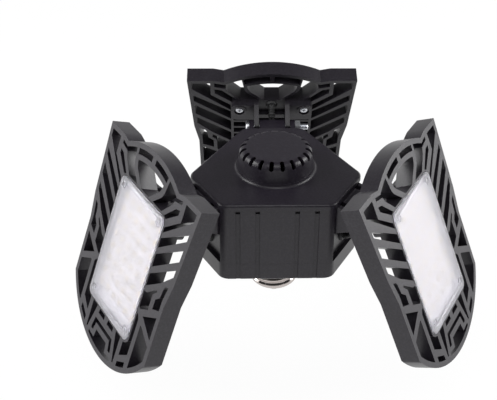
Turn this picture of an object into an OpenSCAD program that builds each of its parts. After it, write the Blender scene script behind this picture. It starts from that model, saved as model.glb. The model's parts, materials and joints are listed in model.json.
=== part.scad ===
// Folding garage light: three die-cast LED panels on a six-sided hub with a screw cap.
// Millimetres. +Z points up, out of the vent dome. The origin is on the lamp's axis,
// at the shoulder where the screw cap meets the neck.

/* [Hub] */
// Distance from the axis to a ribbed face of the hub
rib_face_d = 35.4; // [33:0.2:40]
// Distance from the axis to the skirt's face under a hinge
hinge_face_d = 42.4; // [41:0.2:48]
// How far the hinge wall stands back from the skirt
hinge_wall_inset = 2.2; // [1:0.1:3]
// Width of the corner post on either side of a hinge wall
corner_post_w = 2; // [1.5:0.1:2.8]
// Rounding of the hub's upright edges
hub_corner_r = 6; // [2:0.5:9]
// Wall thickness of the hub's castings
hub_wall = 2.4; // [1.8:0.1:3.2]
// Height of the main housing, from the seam to the front cover
housing_h = 33.8; // [28:0.2:40]
// Height of the rear cover's skirt
skirt_h = 10.2; // [7:0.1:12]
// Thickness of the front cover's plate
plate_t = 3.5; // [2.4:0.1:4]
// How far the plate's lip stands out over the ribbed faces
lip_overhang = 0.8; // [0.3:0.1:1.5]
// Width of a groove in the ribbed faces
groove_w = 2.3; // [1:0.1:4]
// Depth of a groove in the ribbed faces
groove_depth = 1; // [0.4:0.1:1.4]
// Spacing of the grooves
groove_pitch = 10; // [7:0.5:12]
// Height of the notch at the top of each groove
groove_notch_h = 2.8; // [1:0.1:6]
// Wall left behind a notch
notch_skin = 0.5; // [0.4:0.1:1]
// Softened edge of the front cover's plate
plate_edge = 1.4; // [0.4:0.1:1.5]
// Softened lower edge of the skirt
skirt_edge = 0.8; // [0.4:0.1:1.5]
// Thickness of the ledge that carries the housing
ledge_t = 2; // [1.5:0.1:3]
// Depth of the front cover's rim inside the housing
cover_rim_h = 2.5; // [1.5:0.1:4]
// Clearance of that rim
cover_play = 0.2; // [0.1:0.05:0.3]

/* [Vent dome] */
// Height of the dome above the plate
dome_h = 12.7; // [11:0.1:18]
// Radius of the dome's wall at its foot
dome_foot_r = 20.6; // [19:0.1:22]
// Radius of the dome's wall at the shoulder
dome_shoulder_r = 19.2; // [18:0.1:20]
// Rounding of the dome's shoulder
dome_round = 3.8; // [3:0.1:5]
// Concave fillet between the dome and the plate
dome_fillet = 1.9; // [1:0.1:3]
// Number of vent slots
vent_count = 20; // [12:1:24]
// Width of a vent slot
vent_w = 2.3; // [1.2:0.1:3]

/* [Hinges] */
// Distance from the lamp's axis to a hinge axis
hinge_r = 58; // [57:0.5:64]
// Depth of the hinge axes below the plate's top
hinge_drop = 8.1; // [7:0.1:10]
// Radius of the hinge knuckles
knuckle_r = 4.1; // [3.4:0.1:4.6]
// Diameter of the hinge bolts
bolt_d = 4; // [3:0.5:5]
// Running clearance of a bolt in its bores
bolt_play = 0.05; // [0.02:0.01:0.1]
// Width of the hub's middle knuckle
middle_knuckle_w = 14.8; // [12:0.2:17]
// Thickness of a bracket ear
ear_t = 2.7; // [2:0.1:3.4]
// Thickness of an outer ear on the hub
outer_ear_t = 2.6; // [2:0.1:3.4]
// Side gap between neighbouring ears
ear_gap = 0.3; // [0.3:0.05:0.6]
// Height of the hinge block where it meets the hub
hinge_block_h = 18; // [13:0.5:20]
// Thickness of a hinge bolt's head
bolt_head_h = 2.2; // [1.6:0.1:3]
// Diameter of a hinge bolt's head
bolt_head_d = 7.4; // [6:0.1:7.8]
// Thickness of a hinge nut
nut_h = 3.2; // [2.4:0.1:4]
// Width of a hinge nut across its flats
nut_flats = 7; // [6:0.1:7.6]
// How far a hinge bolt runs past its nut
bolt_tail = 4.7; // [1:0.1:6]
// Fold of the rear panel, 0 hanging straight down and 90 fully opened
rear_fold = 21; // [0:1:90]
// Fold of the left panel
left_fold = 20.8; // [0:0.2:90]
// Fold of the right panel
right_fold = 23.8; // [0:0.2:90]

/* [Panels] */
// Half width of a panel at its head
head_half_w = 49; // [47:0.5:52]
// Half width of a panel beside the middle of its lens
waist_half_w = 46.5; // [45:0.5:48]
// Half width of a panel near its tip
tip_half_w = 44; // [42.5:0.1:45]
// Thickness of a panel's casting
panel_t = 9.8; // [9:0.1:12]
// Radius of the head's arch
head_arch_r = 60; // [56:0.5:66]
// How far the arch rises over the head's flats
head_rise = 5.5; // [4.5:0.1:7]
// Radius of the rounded tip
tip_arc_r = 52; // [48:0.5:58]
// Length of the tip beyond the lens
tip_len = 23.7; // [22.5:0.1:26]
// Width of the rim round the lattice
rim_w = 2.8; // [2.2:0.1:3.4]
// How much a lattice opening widens from the face to the back
draft = 0.7; // [0.2:0.05:0.8]
// Distance from a hinge axis to the panel's back face
hinge_to_back = 12.5; // [11.5:0.1:15]
// Distance along the panel from the head's flats to the hinge axis
hinge_from_head = 26; // [25:0.5:28]
// Thickness of the floor behind the LED board
floor_t = 1.8; // [1.4:0.1:2.4]
// Spacing of the cooling fins
fin_pitch = 5.5; // [4.5:0.1:8]
// Thickness of a cooling fin
fin_t = 1.4; // [1:0.1:2]

/* [Lens and LED board] */
// Half width of the lens
lens_half_w = 23.4; // [23:0.1:23.5]
// Distance from the head's flats to the lens
lens_start = 17.5; // [17.4:0.1:18.5]
// Length of the lens
lens_len = 70.1; // [68:0.1:70.2]
// Corner radius of the lens
lens_corner_r = 3.4; // [2:0.1:4]
// How far the lens stands proud of the panel's face
lens_proud = 0.6; // [0.2:0.1:1.5]
// Thickness of the lens
lens_t = 1.4; // [1:0.1:2]
// Thickness of the lens's skirt
lens_skirt_t = 1.3; // [1:0.1:1.8]
// Side clearance of the lens in its window
lens_play = 0.2; // [0.1:0.05:0.25]
// Depth of the LED board's seat under the panel's face
seat_depth = 5; // [4.5:0.1:6]
// Thickness of the LED board
board_t = 1.2; // [1:0.1:1.6]
// Columns of LEDs on a panel
led_columns = 6; // [3:1:7]
// Rows of LEDs on a panel
led_rows = 8; // [4:1:9]
// Width of an LED package
led_w = 2.8; // [2:0.1:3.5]
// Length of an LED package
led_l = 3.5; // [2.5:0.1:4]
// Height of an LED package
led_h = 0.7; // [0.5:0.1:1]

/* [Fasteners] */
// Diameter of the panel screws
screw_d = 3; // [2.5:0.1:3.2]
// Diameter of a panel screw's head
screw_head_d = 5.6; // [5:0.1:6]
// Height of a panel screw's head
screw_head_h = 1.8; // [1.4:0.1:2]
// Clearance round a screw
screw_play = 0.1; // [0.05:0.05:0.2]
// Depth of thread that a cover screw finds in its post
cover_screw_grip = 10; // [6:0.5:14]
// Distance of the panel screws from the panel's middle line
screw_u = 19; // [17.5:0.1:19]
// Distance from the head's flats to the bracket screws
bracket_screw_v = 22; // [21.9:0.1:23]
// Distance from the lens's far end to the lens screws
lens_screw_inset = 4.4; // [4.3:0.1:5.5]

/* [Brackets] */
// Length of a hinge bracket's plate along the panel
bracket_len = 13; // [12.5:0.5:15]
// Distance from the head's flats to the bracket's plate
bracket_start = 17; // [15:0.5:17.5]
// Thickness of a hinge bracket's plate
bracket_t = 3.8; // [3.4:0.1:4.4]
// Thickness of the web between the bracket's halves
bracket_web_t = 2.4; // [2:0.1:3]

/* [Cables] */
// Diameter of a panel cable
cable_d = 3; // [2.4:0.1:3.2]
// Radius of the cable's bend round the knuckle
cable_bend_r = 6.6; // [6.4:0.1:7]
// Distance from the head's flats to the cable's hole
cable_v = 20.5; // [20:0.1:22]
// Depth of the cable's hole in the hub below the plate's top
cable_entry_drop = 29.6; // [27:0.2:32]
// Outer diameter of a grommet's flange
grommet_flange_d = 7; // [6.5:0.1:8]
// Diameter of a grommet's neck
grommet_neck_d = 5; // [4.6:0.1:5.4]

/* [Screw cap] */
// Radius of the cap's shell over its thread
cap_r = 13.1; // [12:0.05:13.5]
// Wall of the cap's shell, with the depth of its thread
cap_wall = 0.9; // [0.6:0.1:1.4]
// Length of the cap's shell
cap_len = 22.4; // [20:0.1:25]
// Height of the neck between the cap and the rear cover
neck_h = 4.1; // [3:0.1:8]
// Radius of the neck where it meets the rear cover
neck_r = 16; // [15:0.1:18]
// Shoulder of the neck round the cap
neck_step = 1.4; // [0.8:0.1:2]
// Length of the spigot that carries the cap
spigot_len = 17; // [14:0.5:18]
// Clearance of the cap on its spigot
cap_play = 0.1; // [0.05:0.05:0.2]
// Radius of the contact's insulator at its wide end
insulator_r = 9.4; // [8.5:0.1:10]
// Radius of the contact
contact_r = 4.6; // [4:0.1:5.5]

/* [Driver] */
// Radius of the driver board
driver_r = 24.4; // [22:0.1:24.6]
// Thickness of the driver board
driver_t = 1.6; // [1:0.1:2]
// Height of the bosses under the driver board
driver_boss_h = 9; // [7:0.5:12]
// Radius of a boss under the driver board
driver_boss_r = 3; // [2.5:0.1:3.5]
// Distance of the board's screws from the axis
driver_screw_r = 20; // [18:0.5:21]

/* [Hidden] */

casting_black = "#3a393f";
cover_black = "#2e2d33";
frosted_white = "#f2f1f6";
zinc = "#c9cbd0";
nickel = "#b9b6b2";
rubber_black = "#19191b";
board_green = "#2f6b45";
board_white = "#eceae4";
copper_red = "#8d3b2a";

cut_over = 0.5;               // how far a cut runs past the face that it opens
sink_in = 1;                  // how far a boss runs into the wall that carries it
round_fn = 96;
small_fn = 32;
rear_azimuth = 90;
left_azimuth = 210;
right_azimuth = 330;
hinge_azimuths = [rear_azimuth, left_azimuth, right_azimuth];
rib_azimuths = [30, 150, 270];

// Levels above the cap's shoulder
seam_z = neck_h + skirt_h;
lip_z = seam_z + housing_h;
plate_z = lip_z + plate_t;
floor_top_z = neck_h + hub_wall;
hinge_z = plate_z - hinge_drop;
cable_entry_z = plate_z - cable_entry_drop;
driver_z = floor_top_z + driver_boss_h;
driver_top_z = driver_z + driver_t;

// Distances from the lamp's axis
hinge_wall_d = hinge_face_d - hinge_wall_inset;
plate_rib_d = rib_face_d + lip_overhang;
plate_hinge_d = hinge_face_d + lip_overhang / 2;
hinge_face_half_w = face_corner(0, hinge_face_d, rib_face_d, 1)[1];
hinge_recess_half_w = hinge_face_half_w - corner_post_w;

// Distances out of a hinge axis, along the panel's front normal
back_w = hinge_to_back;
face_w = back_w + panel_t;
seat_w = face_w - seat_depth;
fin_root_w = seat_w - floor_t;
board_face_w = seat_w + board_t;
lens_w = face_w + lens_proud;
lens_inner_w = lens_w - lens_t;
bracket_w = back_w - bracket_t;

// Lengths along a panel, measured from the head's flats
lens_end = lens_start + lens_len;
lens_screw_v = lens_end - lens_screw_inset;
panel_len = lens_end + tip_len;

// The lens's window in a panel's face, measured from the head's flats
window_half_w = lens_half_w + lens_play;
window_start = lens_start - lens_play;
window_len = lens_len + 2 * lens_play;
window_end = window_start + window_len;
window_corner_r = lens_corner_r + lens_play;
window_wall = 1.2;            // casting between the window and the lattice

// Details of the hub's fastenings
cover_post_r = 3.6;
cover_post_d = rib_face_d - hub_wall - cover_post_r - 0.4;
cover_post_z = driver_top_z + 2;
cover_screw_head_z = floor_top_z + 0.2;
driver_screw_azimuths = [60, 180, 300];
spigot_r = cap_r - cap_wall - cap_play;
lip_gap = 0.2;
wire_stub = 1.5;              // straight end of a wire where it is soldered
rivet_r = 1.2;
insulator_h = 4;
lead_d = 1.6;

// Details of the panels
arch_half_w = 28;
flat_step = 6;
waist_v = 40;
kink_v = 54;
arch_cell_w = 3;
arch_rib_w = 2.8;
lens_post_r = 2.5;
lens_boss_r = screw_head_d / 2 + 1.3;
head_sink = 0.1;              // how far a bracket screw's head lies under its ring
screw_end_gap = 0.5;          // casting left between a screw's end and the lens
led_pitch = 7.2;
grommet_play = 0.1;
grommet_flange_t = 1.5;

// The stack of ears along a hinge bolt, from the middle outwards
middle_x = middle_knuckle_w / 2;
ear_x = middle_x + ear_gap;
outer_x = ear_x + ear_t + ear_gap;
stack_x = outer_x + outer_ear_t;

// ---------- plane geometry ----------

// Corner of the face at this azimuth and distance with its neighbour on one side, 60 degrees round
function face_corner(azimuth, own_d, neighbour_d, side) =
  own_d * [cos(azimuth), sin(azimuth)]
  + side * (neighbour_d - own_d * cos(60)) / sin(60) * [-sin(azimuth), cos(azimuth)];

// Point where a line from p touches the circle round c, on the side that turn names
function tangent_point(c, r, p, turn) =
  let (a = atan2(p[1] - c[1], p[0] - c[0]) + turn * acos(r / norm(p - c)))
  c + r * [cos(a), sin(a)];

function edge_normal(a, b) = [b[1] - a[1], a[0] - b[0]] / norm(b - a);

// The corner b between a and c, moved so that both of its edges step out by d
function grown_corner(a, b, c, d) =
  let (n = edge_normal(a, b), m = edge_normal(b, c))
  b + d * (n + m) / (1 + n * m);

function doubled_area(p) =
  let (n = len(p))
  [for (i = [0:n - 1]) p[i][0] * p[(i + 1) % n][1] - p[(i + 1) % n][0] * p[i][1]]
  * [for (i = [0:n - 1]) 1];

function anticlockwise(p) =
  doubled_area(p) > 0 ? p : [for (i = [len(p) - 1:-1:0]) p[i]];

// An outline grown by d on every side
function grown(points, d) =
  let (p = anticlockwise(points), n = len(p))
  [for (i = [0:n - 1]) grown_corner(p[(i + n - 1) % n], p[i], p[(i + 1) % n], d)];

function turn(a, b, c) = cross(b - a, c - b);

// Is the corner at this place in the list convex, with no other corner inside its triangle?
function is_ear(p, list, i) =
  let (n = len(list), before = list[(i + n - 1) % n], after = list[(i + 1) % n])
  let (a = p[before], b = p[list[i]], c = p[after])
  turn(a, b, c) > 0
  && [for (k = list) if (k != before && k != list[i] && k != after && in_triangle(a, b, c, p[k])) k] == [];

function in_triangle(a, b, c, q) = cross(b - a, q - a) >= 0 && cross(c - b, q - b) >= 0 && cross(a - c, q - c) >= 0;

// An anticlockwise outline split into triangles, by clipping one ear after another
function ears(p, list) =
  len(list) == 3 ? [list] :
  let (n = len(list), i = [for (i = [0:n - 1]) if (is_ear(p, list, i)) i][0])
  concat(
    [[list[(i + n - 1) % n], list[i], list[(i + 1) % n]]],
    ears(p, [for (k = [0:n - 1]) if (k != i) list[k]])
  );

function flipped(points) = [for (p = points) [-p[0], p[1]]];

// A right half, listed from the middle line outwards and back, made whole
function both_halves(points) =
  concat(points, [for (i = [len(points) - 1:-1:0]) [-points[i][0], points[i][1]]]);

// Catmull-Rom curve through the points, with this many steps from one to the next
function smooth_path(p, steps) =
  let (n = len(p))
  concat(
    [for (i = [0:n - 2], k = [0:steps - 1])
      let (
        t = k / steps,
        a = p[max(i - 1, 0)],
        b = p[i],
        c = p[i + 1],
        d = p[min(i + 2, n - 1)]
      )
      (2 * b + (c - a) * t + (2 * a - 5 * b + 4 * c - d) * t * t + (3 * b - a - 3 * c + d) * t * t * t) / 2
    ],
    [p[n - 1]]
  );

module rounded_plate(half_w, start, length, r) {
  translate([-half_w + r, start]) square([2 * (half_w - r), length]);
  translate([-half_w, start + r]) square([2 * half_w, length - 2 * r]);
  for (x = [-1, 1], y = [start + r, start + length - r])
    translate([x * (half_w - r), y]) circle(r, $fn = small_fn);
}

// A round tube along a path in the XZ plane
module flat_tube(path, d, sides = 10) {
  n = len(path);
  rings = [
    for (i = [0:n - 1])
      let (
        ahead = path[min(i + 1, n - 1)] - path[max(i - 1, 0)],
        across = [-ahead[1], ahead[0]] / norm(ahead)
      )
      for (s = [0:sides - 1])
        let (a = 360 * s / sides, p = path[i] + across * cos(a) * d / 2)
        [p[0], sin(a) * d / 2, p[1]]
  ];
  walls = [
    for (i = [0:n - 2], s = [0:sides - 1])
      [i * sides + s, i * sides + (s + 1) % sides, (i + 1) * sides + (s + 1) % sides, (i + 1) * sides + s]
  ];
  first_end = [[for (s = [sides - 1:-1:0]) s]];
  last_end = [[for (s = [0:sides - 1]) (n - 1) * sides + s]];
  polyhedron(points = rings, faces = concat(first_end, walls, last_end));
}

// ---------- hub ----------

module hub_sketch(rib_d, hinge_d) {
  corners = [
    for (a = rib_azimuths, side = [-1, 1]) face_corner(a, rib_d, hinge_d, side)
  ];
  offset(r = hub_corner_r, $fn = small_fn)
    offset(delta = -hub_corner_r)
      polygon(corners);
}

module at_each(angles) {
  for (a = angles) rotate([0, 0, a]) children();
}

// The dome's section, stepped in by a wall's thickness where one is given
module dome_section(step = 0) {
  shoulder = dome_shoulder_r - step;
  crown = dome_h - step;
  r = dome_round - step;
  polygon([
    [0, -plate_t - step], [dome_foot_r - step, -plate_t - step], [dome_foot_r - step, 0],
    [shoulder, crown - r], [shoulder - r, crown], [0, crown]
  ]);
  translate([shoulder - r, crown - r]) circle(r, $fn = round_fn);
}

module dome_foot_section() {
  difference() {
    translate([dome_foot_r - sink_in, -sink_in]) square(dome_fillet + sink_in);
    translate([dome_foot_r + dome_fillet, dome_fillet]) circle(dome_fillet, $fn = round_fn);
  }
}

// Slots round the dome's shoulder, cut square to its slope
module vent_slots() {
  slot_straight = dome_round * sqrt(2) - vent_w;
  for (i = [0:vent_count - 1])
    rotate([0, 0, 270 + (i + 0.5) * 360 / vent_count])
      translate([dome_shoulder_r - dome_round / 2, 0, dome_h - dome_round / 2])
        rotate([0, 45, 0])
          translate([0, 0, -hub_wall * 2]) {
            translate([-slot_straight / 2, -vent_w / 2, 0])
              cube([slot_straight, vent_w, hub_wall * 4]);
            for (end = [-1, 1])
              translate([end * slot_straight / 2, 0, 0])
                cylinder(h = hub_wall * 4, d = vent_w, $fn = small_fn);
          }
}

module front_cover() {
  color(cover_black) {
    difference() {
      union() {
        // each layer is smaller and taller than the last, so that the edge is round
        hull() {
          for (a = [0:30:90]) {
            inset = plate_edge * (1 - cos(a));
            translate([0, 0, lip_z])
              linear_extrude(plate_t - plate_edge * (1 - sin(a)))
                hub_sketch(plate_rib_d - inset, plate_hinge_d - inset);
          }
        }
        translate([0, 0, plate_z]) {
          rotate_extrude($fn = round_fn) dome_section();
          rotate_extrude($fn = round_fn) dome_foot_section();
        }
        translate([0, 0, lip_z - cover_rim_h])
          linear_extrude(cover_rim_h + sink_in)
            difference() {
              hub_sketch(rib_face_d - hub_wall - cover_play, hinge_wall_d - hub_wall - cover_play);
              hub_sketch(rib_face_d - 2 * hub_wall, hinge_wall_d - 2 * hub_wall);
            }
        at_each(rib_azimuths)
          translate([cover_post_d, 0, cover_post_z])
            cylinder(h = lip_z + sink_in - cover_post_z, r = cover_post_r, $fn = small_fn);
      }
      translate([0, 0, plate_z]) {
        rotate_extrude($fn = round_fn) dome_section(hub_wall);
        vent_slots();
      }
      at_each(rib_azimuths)
        translate([cover_post_d, 0, cover_post_z - cut_over])
          cylinder(h = cover_screw_grip + 1, d = screw_d + 2 * bolt_play, $fn = small_fn);
    }
  }
}

// Side view of a hinge block: a knuckle and its web back to the hub's wall, in X from the lamp's axis and Z
module hinge_block_side() {
  centre = [hinge_r, hinge_z];
  root_x = hinge_wall_d - sink_in;
  root = [root_x, lip_z - hinge_block_h];
  touch = tangent_point(centre, knuckle_r, root, 1);
  polygon([
    root, touch, centre, [hinge_r, hinge_z + knuckle_r],
    [plate_hinge_d + 1, hinge_z + knuckle_r], [plate_hinge_d + 0.6, lip_z - lip_gap], [root_x, lip_z - lip_gap]
  ]);
  translate(centre) circle(knuckle_r, $fn = round_fn);
}

// A slab of the hinge block from x to x + width along the bolt
module hinge_slab(x, width) {
  translate([0, x + width, 0])
    rotate([90, 0, 0])
      linear_extrude(width)
        hinge_block_side();
}

module hinge_block() {
  hinge_slab(-middle_x, middle_knuckle_w);
  hinge_slab(outer_x, outer_ear_t);
  hinge_slab(-outer_x - outer_ear_t, outer_ear_t);
}

module groove_cuts(bottom, top) {
  for (k = [-2, -1, 1, 2])
    translate([rib_face_d - groove_depth, k * groove_pitch - groove_w / 2, bottom])
      cube([groove_depth + cut_over, groove_w, top - bottom]);
}

module groove_notches() {
  for (k = [-2, -1, 1, 2])
    translate([rib_face_d - hub_wall + notch_skin, k * groove_pitch - groove_w / 2, lip_z - groove_notch_h])
      cube([hub_wall, groove_w, groove_notch_h + cut_over]);
}

// The housing fills the skirt's outline at its corner posts, and stands back between them
module housing_sketch() {
  difference() {
    hub_sketch(rib_face_d, hinge_face_d);
    at_each(hinge_azimuths)
      translate([hinge_wall_d, -hinge_recess_half_w])
        square([hinge_wall_inset + cut_over, 2 * hinge_recess_half_w]);
  }
}

module main_housing() {
  color(casting_black)
    difference() {
      union() {
        translate([0, 0, seam_z])
          linear_extrude(housing_h)
            housing_sketch();
        at_each(hinge_azimuths) hinge_block();
      }
      translate([0, 0, seam_z - cut_over])
        linear_extrude(housing_h + 2 * cut_over)
          hub_sketch(rib_face_d - hub_wall, hinge_wall_d - hub_wall);
      at_each(rib_azimuths) {
        groove_cuts(seam_z - cut_over, lip_z - groove_notch_h + cut_over);
        groove_notches();
      }
      at_each(hinge_azimuths) {
        translate([hinge_r, 0, hinge_z])
          rotate([90, 0, 0])
            cylinder(h = 2 * stack_x + 2, d = bolt_d + 2 * bolt_play, center = true, $fn = round_fn);
        translate([hinge_wall_d - hub_wall - cut_over, 0, cable_entry_z])
          rotate([0, 90, 0])
            cylinder(h = hub_wall + 2 * cut_over, d = grommet_neck_d, $fn = small_fn);
      }
    }
}

module rear_cover() {
  color(cover_black)
    difference() {
      union() {
        difference() {
          hull() {
            translate([0, 0, neck_h + skirt_edge])
              linear_extrude(skirt_h - skirt_edge)
                hub_sketch(rib_face_d, hinge_face_d);
            translate([0, 0, neck_h])
              linear_extrude(skirt_edge)
                hub_sketch(rib_face_d - skirt_edge, hinge_face_d - skirt_edge);
          }
          translate([0, 0, floor_top_z])
            linear_extrude(seam_z - ledge_t - floor_top_z)
              hub_sketch(rib_face_d - hub_wall, hinge_face_d - hub_wall);
          translate([0, 0, floor_top_z])
            linear_extrude(skirt_h)
              hub_sketch(rib_face_d - hub_wall, hinge_wall_d - hub_wall);
        }
        cylinder(h = neck_h + sink_in, r1 = cap_r + neck_step, r2 = neck_r, $fn = round_fn);
        translate([0, 0, -spigot_len])
          cylinder(h = spigot_len + sink_in, r = spigot_r, $fn = round_fn);
        at_each(rib_azimuths)
          translate([cover_post_d, 0, floor_top_z - sink_in])
            cylinder(h = cover_post_z - floor_top_z + sink_in, r = cover_post_r, $fn = small_fn);
        at_each(driver_screw_azimuths)
          translate([driver_screw_r, 0, floor_top_z - sink_in])
            cylinder(h = driver_boss_h + sink_in, r = driver_boss_r, $fn = small_fn);
      }
      translate([0, 0, -spigot_len - cut_over])
        cylinder(h = floor_top_z + spigot_len + 2 * cut_over, r = spigot_r - hub_wall, $fn = round_fn);
      at_each(rib_azimuths)
        translate([cover_post_d, 0, neck_h - cut_over]) {
          cylinder(h = cover_screw_head_z - neck_h + cut_over, d = screw_head_d + 4 * screw_play, $fn = small_fn);
          cylinder(h = housing_h, d = screw_d + 2 * screw_play, $fn = small_fn);
        }
      at_each(driver_screw_azimuths)
        translate([driver_screw_r, 0, floor_top_z + 1])
          cylinder(h = driver_boss_h, d = screw_d + 2 * bolt_play, $fn = small_fn);
      at_each(rib_azimuths) groove_cuts(neck_h - cut_over, seam_z + cut_over);
    }
}

// Pan-head screw pointing along +Z, its head's top at the origin
module pan_screw(length) {
  cylinder(h = screw_head_h, d = screw_head_d, $fn = small_fn);
  translate([0, 0, screw_head_h])
    cylinder(h = length, d = screw_d, $fn = small_fn);
}

module cover_screws() {
  head_z = cover_screw_head_z - screw_head_h;
  color(zinc)
    at_each(rib_azimuths)
      translate([cover_post_d, 0, head_z])
        pan_screw(cover_post_z + cover_screw_grip - cover_screw_head_z);
}

// ---------- driver ----------

module driver_board() {
  color(board_green)
    translate([0, 0, driver_z])
      difference() {
        cylinder(h = driver_t, r = driver_r, $fn = round_fn);
        at_each(driver_screw_azimuths)
          translate([driver_screw_r, 0, -cut_over])
            cylinder(h = driver_t + 2 * cut_over, d = screw_d + 2 * screw_play, $fn = small_fn);
      }
}

module board_screws() {
  grip = driver_boss_h - 2;
  color(zinc)
    at_each(driver_screw_azimuths)
      translate([driver_screw_r, 0, driver_top_z + screw_head_h])
        mirror([0, 0, 1])
          pan_screw(driver_t + grip);
}

module on_driver(x, y) {
  translate([x, y, driver_top_z]) children();
}

// Ferrite core with its winding between two flanges
module transformer() {
  core = [16, 13, 13];
  leg = 3;
  flange_t = 1.2;
  bobbin_r = 4.8;
  winding_r = 3.1;
  bite = 0.1;
  color(copper_red)
    on_driver(-4, -3) {
      difference() {
        translate([-core[0] / 2, -core[1] / 2, 0]) cube(core);
        translate([-core[0] / 2 + leg, -core[1], leg])
          cube([core[0] - 2 * leg, 2 * core[1], core[2] - 2 * leg]);
      }
      translate([-core[0] / 2 + leg - bite, 0, core[2] / 2])
        rotate([0, 90, 0])
          cylinder(h = core[0] - 2 * (leg - bite), r = winding_r, $fn = small_fn);
      for (x = [-core[0] / 2 + leg, core[0] / 2 - leg - flange_t])
        translate([x, 0, core[2] / 2])
          rotate([0, 90, 0])
            cylinder(h = flange_t, r = bobbin_r, $fn = small_fn);
    }
}

// Drum core with a waist full of wire
module line_choke() {
  drum_r = 4.2;
  waist_r = 3.4;
  drum_h = 9;
  rim = 1.4;
  color(casting_black)
    on_driver(-14, 9) {
      cylinder(h = rim, r = drum_r, $fn = small_fn);
      cylinder(h = drum_h, r = waist_r, $fn = small_fn);
      translate([0, 0, drum_h - rim]) cylinder(h = rim, r = drum_r, $fn = small_fn);
    }
}

// Electrolytic can with the rolled groove near its foot
module capacitor_can(r, h) {
  groove = 0.4;
  groove_z = 2;
  difference() {
    cylinder(h = h, r = r, $fn = small_fn);
    translate([0, 0, groove_z])
      rotate_extrude($fn = small_fn)
        translate([r, 0]) circle(groove, $fn = small_fn);
  }
}

module input_capacitor() {
  color(casting_black) on_driver(12, 4) capacitor_can(4, 14);
}

module output_capacitor() {
  color(casting_black) on_driver(10, -8) capacitor_can(5, 17);
}

module film_capacitor() {
  size = [11, 5, 9];
  color("#b5482e")
    on_driver(2, 13)
      translate([-size[0] / 2, -size[1] / 2, 0]) cube(size);
}

module rectifier() {
  body = [6.4, 6.4, 2.6];
  leg = [0.8, 0.5, 1.2];
  color(rubber_black)
    on_driver(-13.2, -13.8) {
      translate([-body[0] / 2, -body[1] / 2, 0.4]) cube([body[0], body[1], body[2] - 0.4]);
      for (x = [-2, 2], y = [-1, 1])
        translate([x - leg[0] / 2, y * body[1] / 2 - leg[1] / 2, 0]) cube(leg);
    }
}

// ---------- screw cap ----------

module cap_shell() {
  taper = 2.4;
  lip = insulator_r;
  inner_r = cap_r - cap_wall;
  color(nickel)
    rotate_extrude($fn = round_fn)
      polygon([
        [inner_r, 0], [cap_r, 0], [cap_r, -cap_len + taper], [lip + cap_wall / 2, -cap_len],
        [lip, -cap_len], [lip, -cap_len + cap_wall], [inner_r, -cap_len + taper + cap_wall / 2]
      ]);
}

module cap_insulator() {
  inside = 3;
  color(rubber_black)
    rotate_extrude($fn = round_fn)
      polygon([
        [rivet_r + cap_play, -cap_len + inside], [insulator_r - cap_play / 2, -cap_len + inside],
        [insulator_r - cap_play / 2, -cap_len - 0.3], [contact_r + 0.5, -cap_len - insulator_h],
        [rivet_r + cap_play, -cap_len - insulator_h]
      ]);
}

module cap_contact() {
  button_h = 2;
  bevel = 0.8;
  color(zinc)
    translate([0, 0, -cap_len - insulator_h])
      rotate_extrude($fn = round_fn)
        polygon([
          [0, insulator_h], [rivet_r, insulator_h], [rivet_r, 0], [contact_r, 0],
          [contact_r, -button_h + bevel], [contact_r - bevel, -button_h], [0, -button_h]
        ]);
}

// The live wire climbs from the contact's rivet to the driver board
module live_lead() {
  path = smooth_path([
    [0, -cap_len], [0, -cap_len + wire_stub], [0, -cap_len + 4], [2, -cap_len + 9], [5, -8],
    [6, 0], [6, 6], [8, driver_z - 4], [8, driver_z - wire_stub], [8, driver_z]
  ], 2);
  color(casting_black) flat_tube(path, lead_d);
}

// The neutral wire is soldered inside the shell, under the spigot's end
module neutral_lead() {
  wall_x = -cap_r + cap_wall;
  path = smooth_path([
    [wall_x + 0.1, -spigot_len - 1.5], [wall_x + 2, -spigot_len - 1.5], [-8, -spigot_len - 0.5],
    [-6.5, -12], [-6, 0], [-6, 6], [-8, driver_z - 4], [-8, driver_z - wire_stub], [-8, driver_z]
  ], 2);
  color(board_white) flat_tube(path, lead_d);
}

// ---------- panels ----------

// From a panel's own frame to the lamp's: X along the hinge, Y towards the head, Z out of the face
module on_panel(azimuth, fold) {
  rotate([0, 0, azimuth])
    translate([hinge_r, 0, hinge_z])
      rotate([0, -fold, 0])
        rotate([90, 0, 90])
          children();
}

// Sketches on a panel are laid out from the head's flats towards the tip
module along_panel() {
  translate([0, hinge_from_head, 0]) mirror([0, 1, 0]) children();
}

head_centre = [0, head_arch_r - head_rise];
tip_centre = [0, panel_len - tip_arc_r];
arch_end_v = head_centre[1] - sqrt(head_arch_r * head_arch_r - arch_half_w * arch_half_w);
straight_v = panel_len - 31.3;  // the sides run straight past here, into the tip's arc

// Half width of the panel at this distance from the head's flats
function side_u(v) =
  lookup(v, [[0, head_half_w], [waist_v, waist_half_w], [kink_v, tip_half_w], [panel_len, tip_half_w]]);

// The same, inside the rim
function rim_u(v) = side_u(v) - rim_w;

module panel_outline() {
  flat_start = [arch_half_w + flat_step, 0];
  under_arch = 2 * [arch_half_w, arch_end_v] - flat_start;
  arch_clip = arch_half_w + 1;
  polygon(without_repeats(both_halves([
    [0, under_arch[1]], under_arch, flat_start, [head_half_w, 0],
    [waist_half_w, waist_v], [tip_half_w, kink_v], [tip_half_w, straight_v], [0, straight_v]
  ])));
  intersection() {
    translate(head_centre) circle(head_arch_r, $fn = round_fn);
    translate([-arch_clip, -head_rise - 1]) square([2 * arch_clip, head_rise + under_arch[1] + 2]);
  }
  intersection() {
    translate(tip_centre) circle(tip_arc_r, $fn = round_fn);
    translate([-tip_half_w, straight_v - 1]) square([2 * tip_half_w, panel_len - straight_v + 2]);
  }
}

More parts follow.
